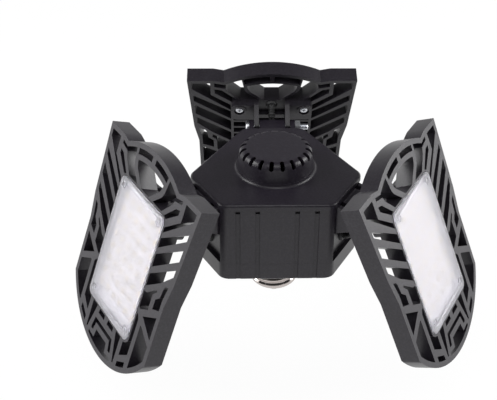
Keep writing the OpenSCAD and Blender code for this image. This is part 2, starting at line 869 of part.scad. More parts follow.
// A hole right through the casting, a little wider at the back, as it leaves the mould
module cast_hole(points) {
  front = anticlockwise(points);
  back = grown(points, draft);
  n = len(front);
  low = back_w - cut_over;
  high = face_w + cut_over;
  polyhedron(
    points = concat([for (p = back) [p[0], p[1], low]], [for (p = front) [p[0], p[1], high]]),
    faces = concat(
      ears(back, [for (i = [0:n - 1]) i]),
      [for (t = ears(front, [for (i = [0:n - 1]) i])) [n + t[2], n + t[1], n + t[0]]],
      [for (i = [0:n - 1]) [i, n + i, n + (i + 1) % n, (i + 1) % n]]
    )
  );
}

module cast_holes(list) {
  for (points = list) {
    cast_hole(points);
    cast_hole(flipped(points));
  }
}

// A drafted disc, for holes that follow the head's arch or the tip's arc
module cast_disc(centre, r) {
  translate([centre[0], centre[1], back_w - cut_over])
    cylinder(h = panel_t + 2 * cut_over, r1 = r + draft, r2 = r, $fn = round_fn);
}

// Holes between the rim and the lens, on one side of the middle line
function side_holes() =
  let (
    lens_u = window_half_w + window_wall,
    lens_v = window_start - window_wall,
    end_v = window_end + window_wall
  )
  [
    // slot inside the chevron
    [[32.8, 8], [29.6, 8.7], [21.4, lens_v + 0.5], [23.5, lens_v + 1.3], [32.6, 10.4]],
    // sliver beside the head's pocket
    [[25.8, 4.6], [32.8, 3], [32.8, 4.8], [26.2, 6.2]],
    // corner pocket, running on into the first slanted slot
    [
      [36.3, rim_w], [rim_u(3), rim_w], [rim_u(7), 6.8],
      [lens_u, 24], [lens_u, 21.2], [36.4, 12.3]
    ],
    // slanted slots
    [[lens_u, 27.1], [rim_u(14), 13.6], [rim_u(17), 17], [lens_u, 32.2]],
    [[lens_u, 35.8], [rim_u(22), 22], [rim_u(28), 28.2], [lens_u, 42.7]],
    [[lens_u, 46.6], [rim_u(33), 33.1], [rim_u(37), 36.9], [35.5, 45.3], [lens_u, 53.3]],
    // crooked slot at the waist
    [
      [42.8, 43.3], [40.4, 44.5], [39.6, 46.3], [38.9, 51.5], [35.7, 54.5],
      [35.7, 59.7], [rim_u(57), 57.2], [rim_u(56), 52.3], [41.4, 50.2]
    ],
    // hooked pocket
    [
      [34.9, 49.5], [35.2, 50.6], [32.4, 53.5], [32.3, 62.4],
      [25.9, 66], [lens_u, 65.4], [lens_u, 56.3], [27.3, 55.8]
    ],
    // triangle
    [[rim_u(61), 61.3], [30.2, 67.7], [rim_u(74), 73.9]],
    // slot beside the lens, turning round its corner
    [
      [lens_u, 69.2], [26, 69.5], [27.3, 71.5], [27.3, panel_len - 18.8], [20.3, panel_len - 13.9],
      [20.3, end_v + 0.4], [22.6, end_v - 0.6], [24.4, end_v - 2.4], [lens_u, end_v - 4.6]
    ],
    // short bar under the lens
    [[2.2, end_v + 0.3], [8.3, end_v + 0.3], [8.7, panel_len - 19.4], [1.8, panel_len - 19.4]],
    // dagger
    [[11.7, end_v], [16.9, end_v], [16.9, panel_len - 6.5], [16, panel_len - 6.5], [12.8, panel_len - 17.8]]
  ];

// Holes whose far edge follows the tip's arc
function tip_holes() = [
  [[30.6, 72.7], [31.6, 72.7], [rim_u(78), 77.9], [rim_u(78), panel_len], [30.6, panel_len]],
  [[20.3, panel_len - 10], [27, panel_len - 14], [27, panel_len], [20.3, panel_len]]
];

// The arched slot and the pocket under it, astride the middle line
function arched_slot() = both_halves([
  [0, panel_len - 15.9], [10.2, panel_len - 15.9], [11.9, panel_len - 9.1], [11.2, panel_len - 8.4],
  [9.6, panel_len - 8.6], [8.3, panel_len - 13.8], [0, panel_len - 13.8]
]);

function tip_pocket() = both_halves([
  [0, panel_len - 10.6], [6, panel_len - 10.6], [7.1, panel_len - 5.4], [13.3, panel_len - 6.1],
  [13.5, panel_len + 1], [0, panel_len + 1]
]);

// Drops the repeated points that both_halves leaves on the middle line
function without_repeats(p) =
  [for (i = [0:len(p) - 1]) if (norm(p[i] - p[(i + 1) % len(p)]) > 0.001) p[i]];

module lattice() {
  lens_v = window_start - window_wall;
  rim_r = head_arch_r - rim_w;
  cast_holes(side_holes());
  cast_hole(without_repeats(arched_slot()));
  intersection() {
    cast_disc(tip_centre, tip_arc_r - rim_w);
    union() {
      cast_holes(tip_holes());
      cast_hole(without_repeats(tip_pocket()));
    }
  }
  // pockets beside the head's arch
  intersection() {
    cast_disc(head_centre, rim_r);
    cast_holes([[
      [18.7, -3], [27, -3], [27, 4.3], [26.6, 5.9], [24.9, 9.3],
      [18.2, lens_v], [8.9, lens_v], [15.4, 10.4], [16.7, 8]
    ]]);
  }
  // curved cells under the arch
  intersection() {
    difference() {
      cast_disc(head_centre, rim_r);
      core_under_cells(rim_r - arch_cell_w);
    }
    cast_holes([[[1.8, -head_rise], [17, -head_rise], [15.9, 0], [15.2, 5], [1.8, 5]]]);
  }
  // the D-shaped opening
  intersection() {
    cast_disc(head_centre, rim_r - arch_cell_w - arch_rib_w);
    cast_hole([
      [-14.6, -1], [14.6, -1], [13.6, 6.2], [12.3, 9],
      [4.2, lens_v], [-4.2, lens_v], [-12.3, 9], [-13.6, 6.2]
    ]);
  }
}

// The rib under the curved cells narrows towards the back, as the holes widen
module core_under_cells(r) {
  translate([head_centre[0], head_centre[1], back_w - 2 * cut_over])
    cylinder(h = panel_t + 4 * cut_over, r1 = r - draft, r2 = r, $fn = round_fn);
}

module at_screws(v) {
  for (side = [-1, 1]) translate([side * screw_u, v, 0]) children();
}

// Gaps that leave the cooling fins standing on the back of the floor
module fin_gaps() {
  first = bracket_start + bracket_len + 1;
  count = floor((window_end - first) / fin_pitch);
  fin_half_w = window_half_w - 1;
  difference() {
    for (i = [0:count - 1])
      translate([-fin_half_w, first + i * fin_pitch, back_w - cut_over])
        cube([2 * fin_half_w, fin_pitch - fin_t, fin_root_w - back_w + cut_over]);
    at_screws(lens_screw_v)
      translate([0, 0, back_w - 2 * cut_over])
        cylinder(h = panel_t, r = lens_boss_r, $fn = small_fn);
  }
}

module screw_bore(low, high) {
  translate([0, 0, low - cut_over])
    cylinder(h = high - low + 2 * cut_over, d = screw_d + 2 * screw_play, $fn = small_fn);
}

module heat_sink() {
  color(casting_black)
    along_panel()
      difference() {
        translate([0, 0, back_w]) linear_extrude(panel_t) panel_outline();
        translate([0, 0, seat_w])
          linear_extrude(panel_t)
            rounded_plate(window_half_w, window_start, window_len, window_corner_r);
        lattice();
        fin_gaps();
        at_screws(bracket_screw_v) screw_bore(back_w, seat_w);
        at_screws(lens_screw_v) {
          screw_bore(back_w, seat_w);
          translate([0, 0, back_w - cut_over])
            cylinder(h = screw_head_h + cut_over, d = screw_head_d + 4 * screw_play, $fn = small_fn);
        }
        translate([0, cable_v, back_w - cut_over])
          cylinder(h = panel_t, d = grommet_neck_d, $fn = small_fn);
      }
}

module led_board() {
  half_w = lens_half_w - lens_skirt_t - lens_play;
  start = lens_start + lens_skirt_t + lens_play;
  length = lens_len - 2 * (lens_skirt_t + lens_play);
  middle_v = lens_start + lens_len / 2;
  color(board_white)
    along_panel() {
      difference() {
        translate([0, 0, seat_w])
          linear_extrude(board_t)
            rounded_plate(half_w, start, length, lens_corner_r - lens_skirt_t);
        for (v = [bracket_screw_v, lens_screw_v])
          at_screws(v) screw_bore(seat_w, board_face_w);
        translate([0, cable_v, seat_w - cut_over])
          cylinder(h = board_t + 2 * cut_over, d = cable_d + 2 * screw_play, $fn = small_fn);
      }
      for (i = [0:led_columns - 1], j = [0:led_rows - 1])
        translate([
          (i - (led_columns - 1) / 2) * led_pitch - led_w / 2,
          middle_v + (j - (led_rows - 1) / 2) * led_pitch - led_l / 2,
          board_face_w - 0.1
        ])
          cube([led_w, led_l, led_h + 0.1]);
    }
}

module diffuser() {
  post_r = lens_post_r;
  color(frosted_white)
    along_panel()
      difference() {
        union() {
          difference() {
            translate([0, 0, seat_w])
              linear_extrude(lens_w - seat_w)
                rounded_plate(lens_half_w, lens_start, lens_len, lens_corner_r);
            translate([0, 0, seat_w - cut_over])
              linear_extrude(lens_inner_w - seat_w + cut_over)
                rounded_plate(
                  lens_half_w - lens_skirt_t, lens_start + lens_skirt_t,
                  lens_len - 2 * lens_skirt_t, lens_corner_r - lens_skirt_t
                );
          }
          for (v = [bracket_screw_v, lens_screw_v])
            at_screws(v)
              translate([0, 0, board_face_w])
                cylinder(h = lens_w - lens_t / 2 - board_face_w, r = post_r, $fn = small_fn);
        }
        for (v = [bracket_screw_v, lens_screw_v])
          at_screws(v)
            translate([0, 0, board_face_w - cut_over])
              cylinder(h = lens_inner_w - board_face_w + cut_over, d = screw_d + 2 * bolt_play, $fn = small_fn);
      }
}

// Side view of a bracket's ear, X up the panel and Y out of it: the knuckle and its gusset to the plate
module bracket_ear_side() {
  high = [hinge_from_head - bracket_start, bracket_w];
  low = high - [bracket_len, 0];
  polygon([
    [0, 0], tangent_point([0, 0], knuckle_r, low, 1), low, [low[0], back_w],
    [high[0], back_w], high, tangent_point([0, 0], knuckle_r, high, -1)
  ]);
  circle(knuckle_r, $fn = round_fn);
}

module bracket_ear(x) {
  translate([x, 0, 0])
    rotate([90, 0, 90])
      linear_extrude(ear_t)
        bracket_ear_side();
}

module bracket_half() {
  inner = ear_x;
  half = (window_half_w - inner) / 2;
  ring_r = screw_head_d / 2 + 1.5;
  ring_h = 0.4;
  head_seat = bracket_w + head_sink + screw_head_h;
  difference() {
    union() {
      translate([inner + half, 0, bracket_w])
        linear_extrude(bracket_t)
          rounded_plate(half, bracket_start, bracket_len, 3);
      translate([inner, bracket_start, bracket_w])
        cube([ear_t, bracket_len, bracket_t]);
      translate([screw_u, bracket_screw_v, bracket_w - ring_h])
        cylinder(h = ring_h + 1, r = ring_r, $fn = small_fn);
    }
    translate([screw_u, bracket_screw_v, 0]) {
      screw_bore(bracket_w, back_w);
      translate([0, 0, bracket_w - 2 * ring_h])
        cylinder(h = head_seat - bracket_w + 2 * ring_h, r = screw_head_d / 2 + 2 * screw_play, $fn = small_fn);
    }
  }
}

module hinge_bracket() {
  web_len = 3;
  color(casting_black) {
    difference() {
      union() {
        along_panel() {
          bracket_half();
          mirror([1, 0, 0]) bracket_half();
          translate([-ear_x - 1, bracket_start + bracket_len - web_len, back_w - bracket_web_t])
            cube([2 * ear_x + 2, web_len, bracket_web_t]);
        }
        bracket_ear(ear_x);
        bracket_ear(-ear_x - ear_t);
      }
      rotate([0, 90, 0])
        cylinder(h = 2 * stack_x, d = bolt_d + 2 * bolt_play, center = true, $fn = round_fn);
    }
  }
}

module bracket_screws() {
  color(zinc)
    along_panel()
      at_screws(bracket_screw_v)
        translate([0, 0, bracket_w + head_sink])
          pan_screw(lens_inner_w - screw_end_gap - bracket_w - screw_head_h);
}

module lens_screws() {
  color(zinc)
    along_panel()
      at_screws(lens_screw_v)
        translate([0, 0, back_w])
          pan_screw(lens_inner_w - screw_end_gap - back_w - screw_head_h);
}

module hinge_bolt() {
  shank = 2 * stack_x + nut_h + bolt_tail;
  color(zinc)
    translate([stack_x, 0, 0])
      rotate([0, 90, 0]) {
        cylinder(h = bolt_head_h, d = bolt_head_d, $fn = small_fn);
        translate([0, 0, -shank]) cylinder(h = shank, d = bolt_d, $fn = round_fn);
      }
}

module hinge_nut() {
  color(zinc)
    translate([-stack_x - nut_h, 0, 0])
      rotate([0, 90, 0])
        difference() {
          cylinder(h = nut_h, d = nut_flats / cos(30), $fn = 6);
          translate([0, 0, -cut_over])
            cylinder(h = nut_h + 2 * cut_over, d = bolt_d + 2 * bolt_play, $fn = round_fn);
        }
}

// ---------- cables ----------

// A grommet whose flange stands on the wall at Z = 0 and whose neck runs up through it
module grommet(neck_len) {
  flange_t = grommet_flange_t;
  bevel = 0.8;
  difference() {
    union() {
      translate([0, 0, -flange_t])
        cylinder(h = flange_t, r1 = grommet_flange_d / 2 - bevel, r2 = grommet_flange_d / 2, $fn = small_fn);
      cylinder(h = neck_len, d = grommet_neck_d - 2 * grommet_play, $fn = small_fn);
    }
    translate([0, 0, -flange_t - cut_over])
      cylinder(h = neck_len + flange_t + 2 * cut_over, d = cable_d + 2 * grommet_play, $fn = small_fn);
  }
}

module panel_grommet() {
  color(rubber_black)
    along_panel()
      translate([0, cable_v, back_w])
        grommet(seat_w - back_w);
}

module hub_grommet(azimuth) {
  color(rubber_black)
    rotate([0, 0, azimuth])
      translate([hinge_wall_d, 0, cable_entry_z])
        rotate([0, -90, 0])
          grommet(hub_wall);
}

// The cable's middle line in the hinge's own plane: X away from the lamp, Y up, from the hinge axis.
// It runs straight through both grommets and down on to the driver board
function cable_route(fold) =
  let (
    hole_y = hinge_from_head - cable_v,
    out = [cos(fold), sin(fold)],
    up = [-sin(fold), cos(fold)],
    exit_w = back_w - grommet_flange_t,
    wall_x = hinge_wall_d - hinge_r,
    flange_x = wall_x + grommet_flange_t,
    entry_y = cable_entry_z - hinge_z,
    end_x = driver_r - 2.5 - hinge_r,
    board_y = driver_top_z - hinge_z
  )
  concat(
    [for (w = [board_face_w, seat_w, back_w, exit_w - 0.2, exit_w - 1.2]) w * out + hole_y * up],
    [for (a = [fold + 20, (fold - 40) / 2, -60]) cable_bend_r * [cos(a), sin(a)]],
    [
      [-1, -10.5], [-7, -15.5], [-12, -19.5], [flange_x + 1.2, entry_y], [flange_x + 0.2, entry_y],
      [wall_x - hub_wall, entry_y], [wall_x - 5, entry_y], [end_x + 3, entry_y],
      [end_x + 0.9, entry_y - 0.9], [end_x, entry_y - 3], [end_x, board_y + 0.9], [end_x, board_y]
    ]
  );

module panel_cable(azimuth, fold) {
  color(rubber_black)
    rotate([0, 0, azimuth])
      translate([hinge_r, 0, hinge_z])
        flat_tube(smooth_path(cable_route(fold), 3), cable_d);
}

// ---------- the three arms ----------

module rear_heat_sink() { on_panel(rear_azimuth, rear_fold) heat_sink(); }
module left_heat_sink() { on_panel(left_azimuth, left_fold) heat_sink(); }
module right_heat_sink() { on_panel(right_azimuth, right_fold) heat_sink(); }

module rear_led_board() { on_panel(rear_azimuth, rear_fold) led_board(); }
module left_led_board() { on_panel(left_azimuth, left_fold) led_board(); }
module right_led_board() { on_panel(right_azimuth, right_fold) led_board(); }

module rear_diffuser() { on_panel(rear_azimuth, rear_fold) diffuser(); }
module left_diffuser() { on_panel(left_azimuth, left_fold) diffuser(); }
module right_diffuser() { on_panel(right_azimuth, right_fold) diffuser(); }

module rear_hinge_bracket() { on_panel(rear_azimuth, rear_fold) hinge_bracket(); }
module left_hinge_bracket() { on_panel(left_azimuth, left_fold) hinge_bracket(); }
module right_hinge_bracket() { on_panel(right_azimuth, right_fold) hinge_bracket(); }

module rear_bracket_screws() { on_panel(rear_azimuth, rear_fold) bracket_screws(); }
module left_bracket_screws() { on_panel(left_azimuth, left_fold) bracket_screws(); }
module right_bracket_screws() { on_panel(right_azimuth, right_fold) bracket_screws(); }

module rear_lens_screws() { on_panel(rear_azimuth, rear_fold) lens_screws(); }
module left_lens_screws() { on_panel(left_azimuth, left_fold) lens_screws(); }
module right_lens_screws() { on_panel(right_azimuth, right_fold) lens_screws(); }

module rear_panel_grommet() { on_panel(rear_azimuth, rear_fold) panel_grommet(); }
module left_panel_grommet() { on_panel(left_azimuth, left_fold) panel_grommet(); }
module right_panel_grommet() { on_panel(right_azimuth, right_fold) panel_grommet(); }

// The bolts and nuts stay with the hub, so their fold is nil
module rear_hinge_bolt() { on_panel(rear_azimuth, 0) hinge_bolt(); }
module left_hinge_bolt() { on_panel(left_azimuth, 0) hinge_bolt(); }
module right_hinge_bolt() { on_panel(right_azimuth, 0) hinge_bolt(); }

module rear_hinge_nut() { on_panel(rear_azimuth, 0) hinge_nut(); }
module left_hinge_nut() { on_panel(left_azimuth, 0) hinge_nut(); }
module right_hinge_nut() { on_panel(right_azimuth, 0) hinge_nut(); }

module rear_hub_grommet() { hub_grommet(rear_azimuth); }
module left_hub_grommet() { hub_grommet(left_azimuth); }
module right_hub_grommet() { hub_grommet(right_azimuth); }

module rear_cable() { panel_cable(rear_azimuth, rear_fold); }
module left_cable() { panel_cable(left_azimuth, left_fold); }
module right_cable() { panel_cable(right_azimuth, right_fold); }

front_cover();
main_housing();
rear_cover();
cover_screws();
driver_board();
board_screws();
transformer();
line_choke();
input_capacitor();
output_capacitor();
film_capacitor();
rectifier();
cap_shell();
cap_insulator();
cap_contact();
live_lead();
neutral_lead();
rear_heat_sink();
left_heat_sink();
right_heat_sink();
rear_led_board();
left_led_board();
right_led_board();
rear_diffuser();
left_diffuser();
right_diffuser();
rear_hinge_bracket();
left_hinge_bracket();
right_hinge_bracket();
rear_bracket_screws();
left_bracket_screws();
right_bracket_screws();
rear_lens_screws();
left_lens_screws();
right_lens_screws();
rear_hinge_bolt();
left_hinge_bolt();
right_hinge_bolt();
rear_hinge_nut();
left_hinge_nut();
right_hinge_nut();
rear_panel_grommet();
left_panel_grommet();
right_panel_grommet();
rear_hub_grommet();
left_hub_grommet();
right_hub_grommet();
rear_cable();
left_cable();
right_cable();
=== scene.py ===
import json
import math

import bpy
from bpy.props import FloatProperty, FloatVectorProperty, IntProperty, PointerProperty
from bpy.types import Operator, Panel, PropertyGroup
from mathutils import Matrix, Vector


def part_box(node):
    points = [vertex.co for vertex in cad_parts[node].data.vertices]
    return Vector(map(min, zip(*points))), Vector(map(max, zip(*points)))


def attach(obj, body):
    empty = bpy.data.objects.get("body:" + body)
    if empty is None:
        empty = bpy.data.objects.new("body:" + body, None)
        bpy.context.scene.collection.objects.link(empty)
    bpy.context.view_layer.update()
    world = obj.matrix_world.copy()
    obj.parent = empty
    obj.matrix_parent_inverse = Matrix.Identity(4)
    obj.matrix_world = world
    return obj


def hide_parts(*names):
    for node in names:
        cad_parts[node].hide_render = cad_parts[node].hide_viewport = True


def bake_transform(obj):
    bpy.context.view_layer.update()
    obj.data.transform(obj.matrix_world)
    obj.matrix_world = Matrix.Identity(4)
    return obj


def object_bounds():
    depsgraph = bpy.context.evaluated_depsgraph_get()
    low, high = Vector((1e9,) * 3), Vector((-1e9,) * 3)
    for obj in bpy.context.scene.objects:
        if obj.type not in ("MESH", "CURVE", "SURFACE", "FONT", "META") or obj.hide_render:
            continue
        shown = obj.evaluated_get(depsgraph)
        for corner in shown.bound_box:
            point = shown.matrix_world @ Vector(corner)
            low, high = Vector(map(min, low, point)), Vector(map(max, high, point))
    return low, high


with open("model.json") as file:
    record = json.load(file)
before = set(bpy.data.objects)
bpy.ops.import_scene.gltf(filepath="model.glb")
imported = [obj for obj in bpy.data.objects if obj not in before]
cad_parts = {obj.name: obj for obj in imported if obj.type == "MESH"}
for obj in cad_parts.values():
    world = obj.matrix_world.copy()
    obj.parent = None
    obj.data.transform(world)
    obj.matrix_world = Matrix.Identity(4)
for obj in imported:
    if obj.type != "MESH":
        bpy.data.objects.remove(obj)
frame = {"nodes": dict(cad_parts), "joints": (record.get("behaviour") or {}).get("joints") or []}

bl_info = {
    "name": "Folding Garage Light",
    "version": (1, 0, 0),
    "blender": (4, 5, 0),
    "location": "3D View > Sidebar > Garage Light",
    "description": "Finishes a garage light with three folding LED panels, a ribbed hub and a screw cap",
    "category": "Object",
}

MM = 0.001
CAD_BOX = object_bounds()
NODES = frame["nodes"]
ARM_NAMES = ("rear", "left", "right")

# Levels out of a hinge axis, along its panel's front normal, in millimetres
PANEL_BACK = 12.5
BOARD_SEAT = 17.3
BOARD_FACE = 18.5
LENS_INSIDE = 21.5
LENS_FACE = 22.9
BRACKET_BACK = 8.7
# Places along a panel, from the head's flats towards its tip, in millimetres
HINGE_V = 26.0
CABLE_V = 20.5
BRACKET_SCREW_V = 22.0
LENS_SCREW_V = 83.2
POST_RING_VS = (21.7, 82.2)
# Distance of a panel's screws and posts from its middle line, in millimetres
SCREW_U = 19.0
# Distances of the hub's screws from the axis, in millimetres
COVER_SCREW_R = 29.0
BOARD_SCREW_R = 20.0

# Corners this close together are one
TOUCHING = 0.002 * MM


# ---------- settings ----------

def linear(hex_colour):
    """An sRGB colour such as #3a393f as the linear numbers that Blender works in."""
    channels = [int(hex_colour[i:i + 2], 16) / 255 for i in (1, 3, 5)]
    return [c / 12.92 if c <= 0.04045 else ((c + 0.055) / 1.055) ** 2.4 for c in channels]


def colour(name, hex_colour, description):
    return FloatVectorProperty(
        name=name, description=description, default=linear(hex_colour), min=0, max=1, size=3,
        subtype="COLOR")


def length(name, millimetres, description):
    return FloatProperty(
        name=name, description=description, default=millimetres * MM, min=0, precision=5,
        subtype="DISTANCE", unit="LENGTH")


def watts(name, value, description):
    return FloatProperty(name=name, description=description, default=value, min=0, subtype="POWER")


def part_of_one(name, value, description):
    return FloatProperty(
        name=name, description=description, default=value, min=0, max=1, subtype="FACTOR")


class GarageLightColours(PropertyGroup):
    """Colours of the lamp's finishes."""
    hub_coat: colour("Hub coat", "#1c1820", "Powder coat on the hub's castings")
    panel_coat: colour("Panel coat", "#1d1a20", "Powder coat on the panels' castings")
    coat_speck: colour("Coat speck", "#4a494f", "Lighter specks in the powder coat")
    lens: colour("Lens", "#f2f1f7", "Frosted polycarbonate")
    zinc: colour("Zinc", "#cfd1d6", "Zinc plate on the screws, bolts and nuts")
    nickel: colour("Nickel", "#c4bcb8", "Nickel plate on the screw cap")
    solder: colour("Solder", "#b9b7b1", "Tinned contact at the foot of the cap")
    insulator: colour("Insulator", "#0b0b0d", "Black glass round the contact")
    rubber: colour("Rubber", "#141416", "Cables and grommets")
    solder_mask: colour("Solder mask", "#f5f4f4", "White lacquer on the LED boards")
    phosphor: colour("Phosphor", "#f2d98e", "Yellow phosphor in the LEDs")
    board: colour("Driver board", "#1f5a36", "Green lacquer on the driver board")
    copper: colour("Copper", "#9b4326", "Enamelled winding wire")
    sleeve: colour("Sleeve", "#17181c", "Shrunk sleeve on the capacitors")
    film: colour("Film capacitor", "#a8402a", "Dipped film capacitor")


class GarageLightSizes(PropertyGroup):
    """Sizes of the details that the finishing adds."""
    casting_edge: length("Casting edge", 0.35, "Rounding of the castings' edges, with their powder coat")
    hub_edge: length("Hub edge", 0.3, "Rounding of the edges on the hub and the hinge brackets")
    lens_edge: length("Lens edge", 0.45, "Rounding of a lens's edge")
    thread_pitch: length("Thread pitch", 3.6, "Pitch of the cap's rolled thread")
    thread_depth: length("Thread depth", 0.95, "Depth of the cap's rolled thread")
    recess_width: length("Recess width", 2.9, "Width of the cross recess in a screw head")
    recess_depth: length("Recess depth", 1.1, "Depth of the cross recess")
    bolt_pitch: length("Bolt pitch", 0.7, "Pitch of the hinge bolts' thread")
    boot_ribs: IntProperty(
        name="Boot ribs", description="Ribs on the strain relief of a panel cable", default=5,
        min=2, max=8)


class GarageLightStage(PropertyGroup):
    """The studio."""
    focal_length: FloatProperty(
        name="Focal length", description="Focal length of the camera", default=66.36, min=1,
        subtype="DISTANCE_CAMERA")
    key_power: watts("Key light", 10.0, "Power of the tall softbox on the left")
    fill_power: watts("Fill light", 10.0, "Power of the tall softbox on the right")
    top_power: watts("Top light", 2.0, "Power of the softbox above")
    ambient: part_of_one("Ambient", 0.45, "Strength of the surrounding light")
    ceiling: part_of_one("Ceiling", 0.15, "Brightness of the studio beyond its white sweep, in gloss")


# ---------- places ----------

class Arm:
    """One panel's hinge and directions, read from its joint."""

    def __init__(self, name):
        joint = next(j for j in frame["joints"] if j["child"] == name + "_panel")
        self.name = name
        self.body = joint["child"]
        self.hinge = Vector(joint["pos_m"])
        self.fold = -math.radians(joint["range_deg"][0])
        self.level = Vector((self.hinge.x, self.hinge.y, 0)).normalized()
        self.across = Vector((0, 0, 1)).cross(self.level)

    def frame_at(self, fold):
        """Turns millimetres across, up and out of the panel into a place on the lamp."""
        upright = Vector((0, 0, 1))
        up = math.cos(fold) * upright - math.sin(fold) * self.level
        out = math.cos(fold) * self.level + math.sin(fold) * upright
        turned = Matrix((self.across, up, out)).transposed().to_4x4()
        return Matrix.Translation(self.hinge) @ turned @ Matrix.Scale(MM, 4)

    def seat(self, u, v, w):
        """Puts a piece on the panel: u across, v from the head's flats, and w out of the hinge axis."""
        return self.frame_at(self.fold) @ Matrix.Translation((u, HINGE_V - v, w))


ARMS = [Arm(name) for name in ARM_NAMES]


# ---------- modelling ----------

def deselect():
    if bpy.context.object and bpy.context.object.mode != "OBJECT":
        bpy.ops.object.mode_set(mode="OBJECT")
    bpy.ops.object.select_all(action="DESELECT")


def take_up(piece):
    """Makes the piece the only one that operators act on."""
    deselect()
    piece.hide_set(False)
    piece.select_set(True)
    bpy.context.view_layer.objects.active = piece


def edit(piece, work):
    """Runs the work in edit mode, with the whole mesh selected."""
    take_up(piece)
    bpy.ops.object.mode_set(mode="EDIT")
    bpy.ops.mesh.select_all(action="SELECT")
    work()
    bpy.ops.object.mode_set(mode="OBJECT")


def select_faces(piece, test):
    """In object mode: selects the faces whose centre and normal pass the test, and nothing else."""
    mesh = piece.data
    mesh.vertices.foreach_set("select", [False] * len(mesh.vertices))
    mesh.edges.foreach_set("select", [False] * len(mesh.edges))
    for face in mesh.polygons:
        face.select = test(face.center, face.normal)


def edit_faces(piece, test, work):
    """Runs the work in edit mode on the faces that pass the test."""
    take_up(piece)
    bpy.ops.object.mode_set(mode="EDIT")
    bpy.ops.mesh.select_mode(type="FACE")
    bpy.ops.mesh.select_all(action="DESELECT")
    bpy.ops.object.mode_set(mode="OBJECT")
    select_faces(piece, test)
    bpy.ops.object.mode_set(mode="EDIT")
    work()
    bpy.ops.mesh.select_mode(type="VERT")
    bpy.ops.object.mode_set(mode="OBJECT")


def apply_modifier(piece, kind, **settings):
    """Adds a modifier with these settings and applies it."""
    take_up(piece)
    modifier = piece.modifiers.new(kind.title(), kind)
    for key, value in settings.items():
        setattr(modifier, key, value)
    bpy.ops.object.modifier_apply(modifier=modifier.name)


def smooth(piece, degrees=35):
    take_up(piece)
    bpy.ops.object.shade_smooth_by_angle(angle=math.radians(degrees))


def merged():
    bpy.ops.mesh.remove_doubles(threshold=TOUCHING)


def merged_and_outward():
    merged()
    bpy.ops.mesh.normals_make_consistent(inside=False)


def merged_and_flat():
    """Joins the loose triangles of a copied node into large flat faces, none of them concave."""
    merged()
    bpy.ops.mesh.dissolve_limited(angle_limit=math.radians(0.5))
    bpy.ops.mesh.select_all(action="SELECT")
    bpy.ops.mesh.vert_connect_concave()


def added(name):
    """Names the object that an operator has just added, and puts its origin at the lamp's."""
    piece = bpy.context.object
    piece.name = name
    bpy.ops.object.transform_apply(location=True, rotation=True, scale=True)
    return piece


def copied(name, node):
    """A merged copy of a node, to be worked on."""
    piece = bpy.data.objects.new(name, NODES[node].data.copy())
    bpy.context.scene.collection.objects.link(piece)
    piece.data.materials.clear()
    edit(piece, merged_and_flat)
    return piece


def softened(piece, width, segments=2, degrees=34):
    """Rounds the sharp edges, and lets the flat faces keep their shading."""
    apply_modifier(
        piece, "BEVEL", width=width, segments=segments, limit_method="ANGLE",
        angle_limit=math.radians(degrees), miter_outer="MITER_ARC", use_clamp_overlap=True)
    smooth(piece)
    apply_modifier(piece, "WEIGHTED_NORMAL", keep_sharp=True, weight=80)


def dressed(piece, material, slot, body, *nodes):
    """Gives the piece its finish and its body, and lets it stand for its nodes."""
    if not piece.data.materials:
        piece.data.materials.append(material)
    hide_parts(*nodes)
    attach(piece, body)
    return piece


def joined(name, parts):
    deselect()
    for part in parts:
        part.select_set(True)
    bpy.context.view_layer.objects.active = parts[0]
    bpy.ops.object.join()
    parts[0].name = name
    return parts[0]


def set_out(name, pattern, places):
    """Copies of a pattern at these places, as one piece. The pattern itself is used up."""
    copies = []
    for place in places:
        made = bpy.data.objects.new(name, pattern.data.copy())
        bpy.context.scene.collection.objects.link(made)
        made.data.transform(place)
        copies.append(made)
    bpy.data.objects.remove(pattern)
    return joined(name, copies)


def cut_away(piece, tool):
    """Cuts the tool's shape out of the piece, and removes the tool."""
    apply_modifier(piece, "BOOLEAN", operation="DIFFERENCE", solver="EXACT", object=tool)
    bpy.data.objects.remove(tool)


def drawn(name, points):
    """A line through the points, extruded one after another from a single vertex."""
    points = [Vector(p) for p in points]
    deselect()
    bpy.ops.mesh.primitive_plane_add(size=MM, location=points[0])
    piece = added(name)
    bpy.ops.object.mode_set(mode="EDIT")
    bpy.ops.mesh.select_all(action="SELECT")
    bpy.ops.mesh.merge(type="CENTER")
    for here, there in zip(points, points[1:]):
        bpy.ops.mesh.extrude_region_move(TRANSFORM_OT_translate={"value": there - here})
    bpy.ops.object.mode_set(mode="OBJECT")
    return piece


def spun(name, section, steps=48, axis=(0, 0, 1)):
    """A turned shape: the section, in metres, spun once round the axis through the origin."""
    piece = drawn(name, section)

    def turn():
        bpy.ops.mesh.spin(steps=steps, angle=math.tau, center=(0, 0, 0), axis=axis)
        bpy.ops.mesh.select_all(action="SELECT")
        merged_and_outward()

    edit(piece, turn)
    return piece


def smooth_path(points, steps):
    """Catmull-Rom curve through the points."""
    made = []
    last = len(points) - 1
    for i in range(last):
        a, b, c, d = (points[max(i - 1, 0)], points[i], points[i + 1], points[min(i + 2, last)])
        for k in range(steps):
            t = k / steps
            made.append((2 * b + (c - a) * t + (2 * a - 5 * b + 4 * c - d) * t * t
                         + (3 * b - a - 3 * c + d) * t ** 3) / 2)
    return made + [points[last]]


def evenly(path, start, step, count):
    """Points at equal steps along a path, the first one this far from its beginning."""
    made = []
    walked = 0
    for here, there in zip(path, path[1:]):
        reach = (there - here).length
        while len(made) < count and start + len(made) * step <= walked + reach:
            made.append(here.lerp(there, (start + len(made) * step - walked) / reach))
        walked += reach
    return made


